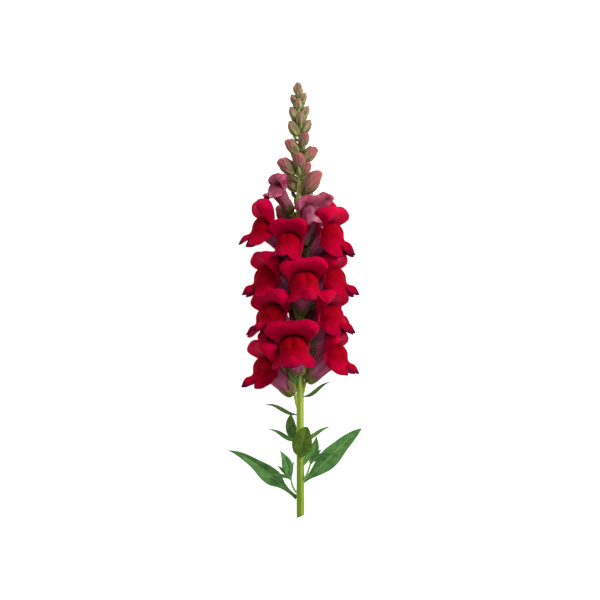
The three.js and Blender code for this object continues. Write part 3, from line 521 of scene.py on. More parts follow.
# The lines from the middle outwards, each with four points from the mouth to the rolled margin
HOOD = np.array(
    [
        [[24.4, 0, 26.8], [27.6, 0, 30.2], [25.4, 0, 33.4], [19.4, 0, 33.6]],
        [[24.5, 8.0, 26.2], [28.2, 9.0, 30.2], [25.8, 10.2, 34.0], [18.8, 9.8, 34.4]],
        [[22.6, 12.8, 23.0], [26.2, 16.6, 25.8], [23.4, 18.4, 28.8], [16.6, 16.8, 30.2]],
        [[16.8, 9.6, 18.6], [17.6, 10.6, 19.6], [16.6, 11.2, 21.0], [14.2, 10.8, 21.6]],
    ]
)
HOOD_ROWS = [0, 1.4, 2.4, 3.4, 4.6]  # how far along a line the mouth and those points lie
RAISE_SHARES = [0, 0.6, 1, 0.4]  # how much of its raise each line of a raised lobe takes


def hood_grid(form, lines, starts, rows):
    """Points of the hood, a row of lines at each step from the mouth to the margin."""
    controls = []
    for line in HOOD_LINES:
        number, sign = abs(line), np.sign(line)
        if number == len(HOOD):
            tip = lip_point(form, CORNER * sign, 1.0)
            controls.append([tip] * 4)
            continue
        start = lip_point(form, CORNER if number else 0.0, HOOD_STARTS[number])
        bent = (HOOD[number] - start) * form["hood"] + start
        half = "left" if line < 0 else "right"
        bent[:, 1] = mix(start[1], bent[:, 1], form[half]) * sign
        bent[:, 2] += form["raise_" + half] * RAISE_SHARES[number]
        controls.append(bent)
    across = flow(HOOD_LINES, controls, lines)
    mouth = lip_point(form, CORNER * np.sign(lines), starts)
    return flow(HOOD_ROWS, np.concatenate([mouth[None], np.swapaxes(across, 0, 1)]), rows)


print("the hood rises", round(HOOD[..., 2].max() - PALATE_TOP[2], 1), "mm above the palate's top")

# %% [markdown]
# ## Tube and back
#
# Behind the margin the petal has its own back, thin at the edge and thicker further in, and it runs
# on into the tube, which narrows towards the calyx and bulges a little on its lower side. A point
# of the tube is found from its place along it and its turn from the top.

# %% The tube
# At the foot and at the mouth: x, z, tilt in degrees, half its width and half its height
TUBE = np.array([[1.6, 0.8, 34, 3.8, 3.8], [14.7, 13.3, 22, 8.2, 7.4]])


def tube_point(place, turn, extra=0.0, back=0.0):
    """Points of the tube: place along it, turn from its top in degrees, moved out and back."""
    place, turn = np.broadcast_arrays(np.asarray(place, float), np.asarray(turn, float))
    x, z, tilt, wide, high = np.moveaxis(mix(*TUBE, place[..., None]), -1, 0)
    cos, sin = np.cos(np.radians(tilt)), np.sin(np.radians(tilt))
    side = np.sin(np.radians(turn)) * (wide + extra)
    rise = np.cos(np.radians(turn)) * (high + extra)
    return np.stack([x - cos * back - sin * rise, side, z - sin * back + cos * rise], -1)


print("the tube's axis is", round(float(np.hypot(*(TUBE[1] - TUBE[0])[:2])), 1), "mm long")

# %% [markdown]
# ## The net of the face
#
# Lip and hood are two grids of points, and every bloom uses the same ones. They are numbered through
# and share the points where they meet: the palate's top, the mouth line and the two corners. Each
# point also knows how far out it lies and how far round, which the finish and the ruffles read.

# %% The net of the face
LIP_SHARES = np.linspace(0, 1, 25)
LIP_ANGLES = np.linspace(CORNER, -CORNER, 61)
HOOD_PLACES = np.linspace(0, HOOD_ROWS[-1], 19)
right_lines = flow(HOOD_STARTS, [0, 1, 2, 3, 4], LIP_SHARES)
HOOD_COLUMNS = np.concatenate([-right_lines[:0:-1], right_lines])
COLUMN_STARTS = np.concatenate([LIP_SHARES[:0:-1], LIP_SHARES])

LIP_NET = np.arange(LIP_SHARES.size * LIP_ANGLES.size).reshape(LIP_SHARES.size, -1)
HOOD_NET = np.arange(HOOD_PLACES.size * HOOD_COLUMNS.size).reshape(HOOD_PLACES.size, -1)
HOOD_NET += LIP_NET.size
LIP_NET[0] = 0
HOOD_NET[0] = np.concatenate([LIP_NET[:0:-1, -1], LIP_NET[:, 0]])
HOOD_NET[:, 0], HOOD_NET[:, -1] = LIP_NET[-1, -1], LIP_NET[-1, 0]
FACE_QUADS = np.concatenate([quads(LIP_NET), quads(HOOD_NET)])

# Where the hood's lines stand round the tube, in degrees from its top
TUBE_TURNS = [-104, -88, -62, -30, 0, 30, 62, 88, 104]
HOOD_TURN = flow(HOOD_LINES, TUBE_TURNS, HOOD_COLUMNS)
LIP_TURN = np.sign(LIP_ANGLES) * (180 - abs(LIP_ANGLES) * (180 - TUBE_TURNS[-1]) / CORNER)
LIP_TURN[LIP_ANGLES == 0] = 180
LOOP_TURN = np.concatenate([HOOD_TURN, LIP_TURN[1:-1]])  # once round the whole margin
TURN = np.concatenate([np.tile(LIP_TURN, LIP_SHARES.size), np.tile(HOOD_TURN, HOOD_PLACES.size)])
lip_out = np.repeat(LIP_SHARES, LIP_ANGLES.size)
hood_out = np.repeat(HOOD_PLACES / HOOD_PLACES[-1], HOOD_COLUMNS.size)
OUT = np.concatenate([lip_out, hood_out])
IS_HOOD = np.repeat([0.0, 1.0], [LIP_NET.size, HOOD_NET.size])
print("the face of a bloom:", len(OUT), "points,", len(FACE_QUADS), "faces")

# %% [markdown]
# ## Ruffles
#
# A petal's margin is longer than the line it would follow if it lay flat, so it waves. The waves are
# added along the face's normals: none at the mouth, most at the margin, and others for each bloom.
# A young bloom is still crumpled all over from the bud.

# %% The face
def vary(piece, use):
    """A repeatable number from -1 to 1 for the given piece and use."""
    value = np.sin(piece * 12.9898 + use * 78.233) * 43758.5453
    return 2 * (value - np.floor(value)) - 1


def unit(vectors):
    return vectors / np.maximum(np.linalg.norm(vectors, axis=-1, keepdims=True), 1e-9)


def normals_of(points, faces):
    a, b, c, d = (points[faces[:, corner]] for corner in range(4))
    across = np.cross(c - a, d - b)
    total = np.zeros_like(points)
    for corner in range(4):
        np.add.at(total, faces[:, corner], across)
    return unit(total)


def face_of(form, piece):
    """The ruffled points of a bloom's face, and its normals before the ruffles."""
    lip = lip_point(form, LIP_ANGLES[None], LIP_SHARES[:, None])
    hood = hood_grid(form, HOOD_COLUMNS, COLUMN_STARTS, HOOD_PLACES)
    points = np.concatenate([lip.reshape(-1, 3), hood.reshape(-1, 3)])
    normals = normals_of(points, FACE_QUADS)
    loose = smooth(OUT, 0.62, 1.0)
    wave = np.sin(np.radians(TURN * (7 + 2 * vary(piece, 5))) + 6 * vary(piece, 6))
    wave += 0.6 * np.sin(np.radians(TURN * 15) + 6 * vary(piece, 7))
    humps = (1 - IS_HOOD) * bell(OUT, 0.32, 0.16) * bell(180 - abs(TURN), 20, 12)
    crumple = np.sin(np.radians(TURN * 10) + 4 * vary(piece, 19))
    crumple = crumple * np.sin(9 * OUT + 3 * vary(piece, 22)) * smooth(OUT, 0.05, 0.3)
    rise = form["ruffle"] * loose * wave + 0.5 * humps + form["crumple"] * crumple
    return points + normals * rise[:, None], normals


# %% [markdown]
# ## One closed skin
#
# The face and the back are joined along the margin, so a bloom is one closed surface like its solid.
# The back is a loft of rows that run once round the bloom. The first ones lie behind the face, by a
# depth along its normals, and the others are rings of the tube with its shallow folds.

# %% The back
BACK_ROWS = [  # share of the way out on the face, and millimetres behind it
    (1.0, 0.0),
    (0.985, 0.3),
    (0.96, 0.42),
    (0.92, 0.55),
    (0.86, 0.7),
    (0.78, 0.85),
    (0.7, 0.95),
    (0.62, 1.0),
]
TUBE_ROWS = [1.0, 0.72, 0.4, 0.12, 0.0]  # places along the tube
# Where the rows stand on the loft, and where it is read
BACK_KNOTS = [0, 0.25, 0.5, 0.9, 1.4, 2, 2.6, 3.2, 5, 6.4, 8, 9.4, 10]
BACK_STEPS = np.array(
    [0, 0.12, 0.25, 0.5, 0.9, 1.4, 2, 2.6, 3.2, 3.7, 4.3, 5, 5.7, 6.4, 7.2, 8, 8.7, 9.4, 10]
)


def back_of(face, normals, piece, size):
    """Rows of points from the margin to the foot of the tube, and the middle of the last one."""
    rows = []
    for out, depth in BACK_ROWS:
        halves = []
        for net in (HOOD_NET, LIP_NET[:, 1:-1]):
            place = out * (len(net) - 1)
            low = int(min(np.floor(place), len(net) - 2))
            near, far, share = net[low], net[low + 1], place - low
            across = unit(mix(normals[near], normals[far], share))
            halves.append(mix(face[near], face[far], share) - across * depth / size)
        rows.append(np.concatenate(halves))
    pouch = bell(180 - abs(LOOP_TURN), 0, 60)
    folds = 0.22 * np.sin(np.radians(LOOP_TURN * 8) + 3 * vary(piece, 8))
    for place in TUBE_ROWS:
        extra = folds + pouch * 0.7 * bell(place, 0.25, 0.25)
        rows.append(tube_point(place, LOOP_TURN, extra * (0.4 + 0.6 * (place < 1))))
    skin = flow(BACK_KNOTS, np.array(rows), BACK_STEPS)
    return np.concatenate([skin, np.broadcast_to(skin[-1].mean(0), skin[-1:].shape)])


print("the back of a bloom:", len(BACK_STEPS), "rows of", len(LOOP_TURN), "points")

# %% [markdown]
# Face and back now become one list of points. The back's first row is the margin itself, so it takes
# over the numbers that the face gave its last points, and the skin has no gap and no double edge.

# %% The corolla
def corolla(form, piece, size):
    """Points, faces and named values of one bloom in its own frame."""
    face, normals = face_of(form, piece)
    skin = back_of(face, normals, piece, size)
    count = skin[..., 0].size
    net = np.arange(count).reshape(skin.shape[:2]) + len(face)
    net[0] = np.concatenate([HOOD_NET[-1], LIP_NET[-1, 1:-1]])
    net = np.concatenate([net, net[:, :1]], axis=1)
    turn = np.concatenate([TURN, np.tile(LOOP_TURN, len(skin))])
    back = np.repeat(np.append(BACK_STEPS / BACK_STEPS[-1], 1.0), LOOP_TURN.size)
    values = {
        "out": np.concatenate([OUT, np.ones(count)]),
        "turn": turn / 180,
        "hood": np.concatenate([IS_HOOD, np.zeros(count)]),
        "hook": form["hook"] * bell(180 - abs(turn), 0, form["hook_width"]),
        "back": np.concatenate([np.zeros(len(face)), back]),
        "piece": np.full(len(turn), 0.5 + 0.5 * vary(piece, 9)),
    }
    points = np.concatenate([face, skin.reshape(-1, 3)])
    return points, np.concatenate([FACE_QUADS, quads(net)]), values


# %% [markdown]
# ## Where the blooms sit
#
# Every bloom sits on a short stalk beside the stem, so its place is a turn round the stem, a height
# and a few degrees of pitch and roll. The same rows place the solids.

# %% Seats
STEM_HEIGHTS = [0, 80, 150, 210, 235, 258, 278, 286]
# At each height, how far right of its foot the stem stands, and its radius
STEM_ROWS = [[0.2, 2.75], [0, 2.55], [-0.2, 2.45], [-0.5, 2.2], [0.2, 1.7], [0, 1.3], [-1, 1], [-1.6, 0.8]]


def stem_at(height):
    x, radius = flow(STEM_HEIGHTS, STEM_ROWS, float(height))
    return np.array([x, height, 0.0]), radius


def seat(bloom):
    """The rotation with size, and the place, of a bloom in the spike's frame."""
    turn, pitch, roll = (np.radians(bloom.get(key, 0)) for key in ("turn", "pitch", "roll"))
    out = np.array([np.sin(turn), 0, np.cos(turn)])
    frame = np.stack([out, [np.cos(turn), 0, -np.sin(turn)], [0, 1, 0]], 1)
    pitched = [[np.cos(pitch), 0, -np.sin(pitch)], [0, 1, 0], [np.sin(pitch), 0, np.cos(pitch)]]
    rolled = [[1, 0, 0], [0, np.cos(roll), -np.sin(roll)], [0, np.sin(roll), np.cos(roll)]]
    middle, _ = stem_at(bloom["height"])
    turned = frame @ np.array(pitched) @ np.array(rolled) * bloom.get("size", 1.0)
    return turned, middle + out * bloom.get("reach", 4.6)


def seated(points, bloom):
    turned, place = seat(bloom)
    return points @ turned.T + place


thick = [round(2 * float(stem_at(height)[1]), 1) for height in (STEM_HEIGHTS[0], STEM_HEIGHTS[-1])]
print("the stem is", thick[0], "mm thick at its foot and", thick[1], "at its tip")

# %% [markdown]
# ## Twenty open blooms and two young ones
#
# The first eleven are those that the photograph shows, roughly from the top down. The others are a
# guess: they fill the far side, which it doesn't show, in the same spiral. Each row says where a
# bloom sits and how wide the halves of its hood are, how tall its hood is and how far its lip hangs,
# where that differs from 1. Blooms that turn their side to the viewer show deep clefts and a hooked
# middle lobe, and the young ones are smaller, half shut and crumpled.

# %% Places and forms of the blooms
OPEN_BLOOMS = [
    dict(turn=-82, height=176, pitch=3, left=0.85),
    dict(turn=-24, height=164, pitch=15, size=0.88, left=0.74, right=0.8, long=1.12),
    dict(turn=64, height=171, pitch=4, left=0.85, right=0.9, long=1.14),
    dict(turn=-68, height=142.5, pitch=3, left=0.8, right=0.8, hood=0.97),
    dict(turn=10, height=138, pitch=5, roll=3, left=0.9, right=0.86, hood=0.92),
    dict(turn=74, height=142, pitch=4, left=0.75, right=0.85, hood=0.95),
    dict(turn=-48, height=118.5, pitch=1, left=0.85, right=0.72, hood=0.9, long=0.88),
    dict(turn=-8, height=98, roll=3),
    dict(turn=62, height=117, pitch=4, left=0.95, right=0.9, hood=0.96),
    dict(turn=-68, height=84, right=0.8),
    dict(turn=74, height=92.5, hood=0.84, left=0.95),
    dict(turn=-148, height=94, size=0.94, reach=6, left=0.9, right=0.85),
    dict(turn=150, height=97, size=0.94, reach=6, left=0.8, right=0.8, hood=0.92),
    dict(turn=124, height=123, pitch=2, left=0.8, hood=0.86),
    dict(turn=178, height=120, pitch=4, size=0.84, left=0.72, right=0.85, hood=0.9),
    dict(turn=-118, height=116, pitch=2, left=0.8, right=0.82, hood=0.94),
    dict(turn=143, height=151, pitch=3, left=0.82, right=0.85, hood=0.86),
    dict(turn=-152, height=145, pitch=4, size=0.92, left=0.8, right=0.7),
    dict(turn=122, height=180, pitch=12, size=0.84, left=0.8),
    dict(turn=-178, height=175.5, pitch=8, size=0.8, left=0.8, right=0.82),
]
YOUNG_BLOOMS = [
    dict(turn=-68, height=204, pitch=12, size=0.68, reach=5.2, left=0.9, right=0.81),
    dict(turn=22, height=183, pitch=22, roll=-10, size=0.82, reach=6, left=0.72, right=1.12),
]
SIDE_ON = 40  # degrees away from the viewer from which a bloom counts as seen from the side


def open_form(bloom, number):
    """The shape of an open bloom, a little different for each number."""
    cleft, strip, hook = (0.8, 13, 0.9) if abs(bloom["turn"]) > SIDE_ON else (0.35, 18, 0.25)
    form = {key: bloom.get(key, 1.0) for key in ("left", "right", "hood", "long")}
    form["hood"] *= 1 + 0.02 * vary(number, 1)
    form.update(raise_left=0.7 * vary(number, 20), raise_right=0.7 * vary(number, 21))
    form.update(cleft=cleft + 0.1 * vary(number, 3), strip=strip, hook=hook, hook_width=18)
    return dict(form, lip=1.0, slim=1.0, ruffle=0.45, crumple=0.06)


YOUNG_FORM = dict(hood=0.86, lip=0.55, slim=1.0, long=1.0, raise_left=0.0, raise_right=0.0)
YOUNG_FORM.update(cleft=0.3, strip=18, hook=0.9, hook_width=45, ruffle=1.0, crumple=0.55)
# The second young bloom is folded: its hood is perked up on the right and its lip hangs down
FOLDED = dict(lip=0.5, slim=0.72, long=1.3, raise_left=-4.0, raise_right=6.5, cleft=0.05, hook=0.0)
for i, bloom in enumerate(OPEN_BLOOMS):
    bloom.update(name=f"bloom_{i + 1:02d}", drop=13, form=open_form(bloom, i))
for i, (bloom, folds) in enumerate(zip(YOUNG_BLOOMS, ({}, FOLDED))):
    form = dict(YOUNG_FORM, left=bloom["left"], right=bloom["right"], **folds)
    bloom.update(name=f"young_bloom_{i + 1}", drop=9, form=form)
BLOOMS = OPEN_BLOOMS + YOUNG_BLOOMS
print(len(OPEN_BLOOMS), "open blooms and", len(YOUNG_BLOOMS), "young ones")

# %% [markdown]
# Each bloom becomes one piece in the place of its solid. The line printed for it says how far the
# piece reaches past the solid's box or falls short of it, which shows at once when a curve that is
# shared by all of them is changed too far.

# %% The blooms
def fit_of(made, node):
    """How far a piece reaches past its solid, and falls short of it, at most, in millimetres."""
    low, high = (np.array(corner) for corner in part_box(node))
    points = np.array([corner[:] for corner in made.bound_box])
    past = max(max(low - points.min(0)), max(points.max(0) - high))
    short = max(max(points.min(0) - low), max(high - points.max(0)))
    return f"{past / MM:.1f} past, {short / MM:.1f} short"


for number, bloom in enumerate(BLOOMS):
    shape = Shape()
    points, faces, values = corolla(bloom["form"], number, bloom.get("size", 1.0))
    shape.add(seated(points, bloom), faces, **values)
    young = number >= len(OPEN_BLOOMS)
    finish, slot = (petal_pink, "petal_pink") if young else (petal_red, "petal_red")
    made = shape.piece("petals_" + bloom["name"], finish, [bloom["name"]], slot)
    print(bloom["name"], len(made.data.polygons), "faces,", fit_of(made, bloom["name"]))

# %% [markdown]
# ## The stem
#
# The stem is a loft: a ring every few millimetres with five shallow ribs, tapering towards the tip.
# It was cut at a slant, so the lowest rings lean. The cut has a paler, slightly sunken pith, which is
# a guess, as that end faces away from the camera.

# %% The stem
STEM_LENGTH = 290
STEM_SIDES = 60
RIBS = 5
CUT_SLOPE = 0.42
CUT_FADE = 9.0  # millimetres over which the rings level out above the slanting cut


def round_rings(middles, across, over, radii, sides, ribs=0.0):
    """Rings of points round a line, with shallow ribs, and how high each point is on its rib."""
    turn = np.linspace(0, 2 * np.pi, sides, endpoint=False)
    ridge = 0.5 + 0.5 * np.cos(RIBS * turn)
    radius = np.asarray(radii)[:, None] * (1 - ribs * (1 - ridge) ** 2)
    sweep = np.cos(turn)[:, None] * across[:, None] + np.sin(turn)[:, None] * over[:, None]
    points = middles[:, None] + radius[..., None] * sweep
    return points, ridge[None] + 0 * radius, (turn / (2 * np.pi))[None] + 0 * radius


heights = np.concatenate([np.linspace(0, 12, 13), np.linspace(14, 286, 150)])
middles, radii = zip(*(stem_at(height) for height in heights))
east, front = (np.tile(axis, (len(heights), 1)) for axis in ([1.0, 0, 0], [0, 0, 1.0]))
rings, ridge, turn = round_rings(np.array(middles), east, front, radii, STEM_SIDES, ribs=0.1)
slant = CUT_SLOPE * (STEM_ROWS[0][1] + rings[..., 0])
rings[..., 1] += slant * (1 - smooth(rings[..., 1], 0, CUT_FADE))
stem_shape = Shape()
along = (heights / STEM_LENGTH)[:, None] + 0 * ridge
stem_shape.grid(rings, closed=True, ridge=ridge, turn=turn, along=along, cut=0.0)

shares, sunk = np.array([(0.02, 0.3), (0.5, 0.35), (0.86, 0.05), (1, 0)]).T[..., None]
pith = mix(rings[0].mean(0), rings[0], shares[..., None])
pith[..., 1] += sunk
cut = smooth(1 - shares, 0, 0.1)
stem_shape.grid(pith, closed=True, ridge=1.0, turn=0.5, along=0.0, cut=cut)

shares, lift = np.array([(0, 0), (0.5, 0.4), (0.98, 0.6)]).T[..., None]
tip = mix(rings[-1], rings[-1].mean(0), shares[..., None])
tip[..., 1] += lift
stem_shape.grid(tip, closed=True, ridge=1.0, turn=0.5, along=1.0, cut=0.0)
print("the stem's shaft:", len(rings), "rings of", STEM_SIDES, "points")


# %% [markdown]
# ## Stalks
#
# Each bloom hangs on a pedicel: it leaves the stem below, runs up along it and bends out into the
# calyx. A tube along a cubic curve does for all of them and for the stalks of the side shoots.

# %% Stalks
STALK_SIDES, STALK_ROWS = 16, 21


def bend(controls, t):
    """Points of a cubic curve from its four control points."""
    a, b, c, d = (np.asarray(point, float) for point in controls)
    t = np.asarray(t, float)[..., None]
    s = 1 - t
    return s**3 * a + 3 * s * s * t * b + 3 * s * t * t * c + t**3 * d


def heading(controls, t):
    """The direction in which the curve runs at t."""
    t = np.asarray(t, float)
    return unit(bend(controls, np.minimum(1, t + 0.02)) - bend(controls, np.maximum(0, t - 0.02)))


def tube_along(controls, radius, ribs=0.0):
    """Rings of a tube along a cubic curve; radius gives its size at each share of the way."""
    t = np.linspace(0, 1, STALK_ROWS)
    ahead = heading(controls, t)
    across = unit(np.cross(ahead, [0.3, 0, 1]))
    over = np.cross(across, ahead)
    return round_rings(bend(controls, t), across, over, radius(t), STALK_SIDES, ribs)


def pedicel(bloom):
    before, end = (seated(np.array(point), bloom) for point in ([-2.6, 0, -2.4], [0.6, 0, 0.3]))
    foot, stem_radius = stem_at(bloom["height"] - bloom["drop"])
    out = unit((end - foot) * [1, 0, 1])
    side = foot + out * (stem_radius + 1.4) + [0, bloom["drop"] * 0.45, 0]
    return [foot, side, before, end]


for bloom in BLOOMS:
    points, ridge, turn = tube_along(pedicel(bloom), lambda t: mix(1.0, 1.15, t), ribs=0.06)
    stem_shape.grid(points, closed=True, ridge=ridge, turn=turn, along=0.3, cut=0.0)
made = stem_shape.piece("stem_and_stalks", stem_green, ["stem"], "stem_green")
print("stem and stalks:", len(made.data.polygons), "faces")

# %% [markdown]
# ## The calyces
#
# Five sepals hold the foot of each tube. They are one cup up to the valleys between them, and above
# that each ends in a rounded point. A row of points round the cup is enough: the edge row runs up
# and down with the sepals, and the inner wall comes back down behind it.

# %% Calyces
SEPALS = 5
CUP_SIDES = 100
SEPAL_TIP, SEPAL_VALLEY = 0.46, 0.2  # how far along the tube they reach
# The cup's rings: how far out from the tube and behind its foot, and how far along a sepal
CUP = [(-2.7, 2.7, 0.0), (-2.0, 2.5, 0.0), (-0.8, 2.2, 0.05), (0.35, 1.5, 0.1), (1.0, 0.5, 0.15)]


def calyx_rings(bloom, piece):
    """Rings of a calyx from its foot up the outside and down the inner wall, with their values."""
    turn = np.linspace(0, 360, CUP_SIDES, endpoint=False)
    lobe = (0.5 + 0.5 * np.cos(np.radians(turn * SEPALS))) ** 0.7
    longer = 1 + 0.12 * np.sin(np.radians(turn) + 5 * vary(piece, 11))
    edge = mix(SEPAL_VALLEY, SEPAL_TIP * longer, lobe)
    swell = 0.35 * lobe
    points = [tube_point(0.0, turn, extra, back) for extra, back, _ in CUP]
    along = [share for *_, share in CUP]
    for share in np.linspace(0.12, 1, 12):
        lift = 0.25 * smooth(share, 0.7, 1.0)
        thin = 1.15 - 0.5 * smooth(share, 0.5, 1.0) + lift + swell * np.sin(np.pi * min(1, share * 1.1))
        points.append(tube_point(edge * share, turn, thin))
        along.append(0.15 + 0.85 * share)
    for share in (0.985, 0.8, 0.5):
        points.append(tube_point(edge * share, turn, 0.3 + 0.2 * smooth(share, 0.7, 1.0)))
        along.append(share)
    side = np.abs((turn * SEPALS / 360 + 0.5) % 1 - 0.5) * 2
    along = np.array(along)[:, None] + 0 * turn
    return seated(np.array(points), bloom), along, side + 0 * along


calyx_shape = Shape()
for number, bloom in enumerate(BLOOMS):
    points, along, side = calyx_rings(bloom, number)
    shade = 0.5 + 0.5 * vary(number, 12)
    calyx_shape.grid(points, closed=True, along=along, side=side, piece=shade)
made = calyx_shape.piece("calyces", calyx_green, ["stem"], "stem_green")
print("calyces:", len(made.data.polygons), "faces")

# %% [markdown]
# ## The buds
#
# A bud is an egg on a short stalk. Its calyx closes round it in five sepals with furrows between
# them. The larger buds show their petals above the sepals: a pink cap with pleats and a fold
# across it. The smallest ones at the tip follow each other by the golden angle, as leaves do.

# %% Buds
BUD_KEYS = ["turn", "height", "size", "lean", "shows", "stalk", "slim"]
BUD_ROWS = [
    [-128, 196, 15, 46, 0.62, 0.3],
    [168, 207, 14, 46, 0.62, 0.3],
    [68, 218, 15.5, 52, 0.62, 0.15, 0.88],
    [-140, 220, 12, 48, 0.55, 0.15],
    [45, 230.5, 9, 48, 0.4],
    [-75, 232, 12, 34, 0.36, 0.15],
    [150, 233, 10, 44, 0.38],
    [-8, 234.5, 11, 52, 0.45],
    [80, 240.5, 10.8, 42, 0.36],
    [-150, 241, 9.5, 46, 0.3],
    [-72, 245.5, 10.2, 44, 0.3],
    [32, 249.5, 9, 52, 0.25],
    [150, 252, 8.8, 48],
    [-66, 257, 9.2, 50],
    [74, 258.5, 8.4, 50],
    [8, 263.5, 7.6, 56],
    [-165, 263, 8, 52],
    [-76, 267, 8.2, 54],
    [76, 268.5, 7.4, 52],
    [172, 273.5, 6.8, 54],
    [-8, 273.5, 6.6, 58],
    [-84, 276.6, 6.6, 56],
    [70, 277.5, 6.6, 58],
]
BUDS = [dict(zip(BUD_KEYS, row)) for row in BUD_ROWS]
TIP_BUDS = 5
GOLDEN_TURN = 137.5
BUD_WIDTH = 0.39  # half of it, as a share of the length
for i in range(TIP_BUDS):
    BUDS.append(dict(turn=i * GOLDEN_TURN, height=281 + i * 1.3, size=5.8 - 0.3 * i, lean=66 + 4 * i))
print(len(BUDS), "buds,", sum("shows" in bud for bud in BUDS), "of them with petals showing")

# %% [markdown]
# A bud leans out from the stem, and its rings lie square to its own axis. Their width follows an
# egg, and each ring is widened or drawn in by what the calyx and the petals ask for.

# %% Rings of a bud
def bud_rings(bud, shares, swell, turns):
    """Rings of a bud at shares of its length; swell widens each point of each ring by a factor."""
    middle, radius = stem_at(bud["height"] - bud["size"] * 0.32)
    turn, lean = np.radians(bud["turn"]), np.radians(bud["lean"])
    out = np.array([np.sin(turn), 0, np.cos(turn)])
    ahead = out * np.cos(lean) + [0, np.sin(lean), 0]
    start = middle + out * radius * 0.4 + ahead * bud.get("stalk", 0) * bud["size"]
    across = np.array([out[2], 0, -out[0]])
    over = np.cross(across, ahead)
    size = bud["size"]
    egg = np.sqrt(np.maximum(0.03, 1 - ((shares - 0.56) / 0.5) ** 2))
    wide = size * BUD_WIDTH * bud.get("slim", 1.0) * egg * swell
    points = start + ahead * (shares * size * 1.15)[..., None]
    points[..., 1] += size * 0.12 * shares**2
    sweep = np.cos(turns)[:, None] * across + np.sin(turns)[:, None] * over
    return points + wide[..., None] * sweep


# %% [markdown]
# A closed calyx is one loft up to its tip. Where petals show, it is open instead: its rings stop at
# the sepals' edge, which runs up and down, and an inner wall comes back down from there.

# %% Calyx of a bud
def bud_calyx(bud, piece, shape):
    turns = np.linspace(0, 2 * np.pi, 60, endpoint=False)
    phase = 2 * np.pi * (0.5 + 0.5 * vary(piece, 13)) / SEPALS
    spot = ((turns + phase) * SEPALS / (2 * np.pi)) % 1
    side = abs(spot - 0.5) * 2  # 0 along the middle of a sepal, 1 in the furrow between two
    shows = bud.get("shows", 0.0)
    end = 1 - 0.8 * shows if shows else 1.06
    rise = 0.2 + 0.7 * shows if shows else 0.1
    edge = end + rise * (0.5 - side**1.5)
    t = np.linspace(0, 1, 22)[:, None]
    shares = mix(-0.1 - bud.get("stalk", 0), edge[None], t)
    furrow = 1 - 0.09 * side**4 * smooth(shares, 0.02, 0.3)
    furrow += 0.06 * (1 - side**2) * smooth(shares, 0.1, 0.5)
    flare = 1 + (0.05 if shows else 0.0) * smooth(t, 0.85, 1.0)
    points = bud_rings(bud, shares, furrow * flare, turns)
    inner_shares = mix(edge[None], 0.25 * edge[None], np.array([[0.02], [0.3], [1.0]]))
    inner = bud_rings(bud, inner_shares, 0.9 + 0 * inner_shares, turns)
    rings = np.concatenate([points, inner]) if shows else points
    along = np.concatenate([t[:, 0], [0.98, 0.8, 0.5]]) if shows else t[:, 0]
    values = dict(along=along[:, None], side=side[None], piece=0.5 + 0.5 * vary(piece, 14))
    shape.grid(rings, closed=True, caps=not shows, **values)


# %% [markdown]
# The petals in a bud are rolled round each other. One loft inside the calyx does for them, with
# pleats that run up it and a step where the upper lip is wrapped over the lower one.

# %% Petals of a bud
def bud_petals(bud, piece):
    turns = np.linspace(0, 2 * np.pi, 72, endpoint=False)
    low = 1 - bud["shows"]
    shares = mix(low - 0.3, 1.03, np.linspace(0, 1, 40) ** 0.85)[:, None] + 0 * turns
    under = smooth(shares, low - 0.05, low + 0.05)
    wrap = np.sin(turns + 0.35 * np.sin(2 * turns))[None] - 0.6 * (shares - 0.7)
    fold = 0.09 * smooth(wrap, -0.12, 0.12)
    pleats = 0.06 * np.cos(7 * turns + 4 * vary(piece, 15) + 5 * shares) * smooth(shares, 0.3, 0.8)
    notch = -0.1 * bell(turns, np.pi / 2, 0.35)[None] * smooth(shares, 0.8, 1.0)
    swell = 0.9 + 0.06 * under + under * (fold - 0.045 + pleats + notch)
    points = bud_rings(bud, shares, swell, turns)
    bearing = np.radians(bud["turn"])
    beak = np.array([np.sin(bearing), -0.5, np.cos(bearing)]) * bud["size"] * 0.1
    points = points + bell(shares, 1.06, 0.14)[..., None] * beak
    values = {
        "out": shares * 0.6,
        "turn": (turns / np.pi - 0.5)[None],
        "hood": smooth(np.sin(turns), -0.1, 0.1)[None],
        "back": 0.1 + 0.5 * (1 - smooth(shares, low, 1.0)),
        "piece": 0.5 + 0.5 * vary(piece, 16),
    }
    shape = Shape()
    shape.grid(points, closed=True, caps=True, **values)
    return shape


# %% All buds
bud_shape = Shape()
shown = 0
for number, bud in enumerate(BUDS):
    bud_calyx(bud, 40 + number, bud_shape)
    if bud.get("shows"):
        shown += 1
        shape = bud_petals(bud, 40 + number)
        made = shape.piece(f"cap_{shown}", petal_bud, [f"bud_petals_{shown}"], "petal_pink")
        print(made.name, fit_of(made, f"bud_petals_{shown}"))
made = bud_shape.piece("bud_calyces", bud_green, ["stem"], "stem_green")
print("bud calyces:", len(made.data.polygons), "faces")

# %% [markdown]
# ## Leaves
#
# A leaf is a thin blade over a curved midrib, folded up a little along it and waved at the edge. The
# blade is a loft of flat rings: across the upper side and back along the lower one. Most leaves
# follow one rounded outline, and the two large ones have their own, read off the photograph.

# %% Leaf blades
LEAF_THICKNESS = 0.8
PETIOLE = 0.26  # half the width of a plain leaf's stalk, as a share of the blade's widest
PROFILE_AT = [0, 0.12, 0.26, 0.4, 0.53, 0.65, 0.78, 0.9, 1]  # where a leaf's own outline is given


def leaf_width(t, petiole, peak=0.85, blunt=1.25, profile=None):
    """Half the width along a leaf, as a share of its widest: a list of shares, or the plain shape."""
    if profile:
        return flow(PROFILE_AT, [[share] for share in profile], t[..., 0])
    stalked = petiole * (1 - smooth(t, 0.05, 0.4))
    return np.maximum(stalked, np.sin(np.pi * t**peak) ** blunt) * (1 - 0.12 * t)


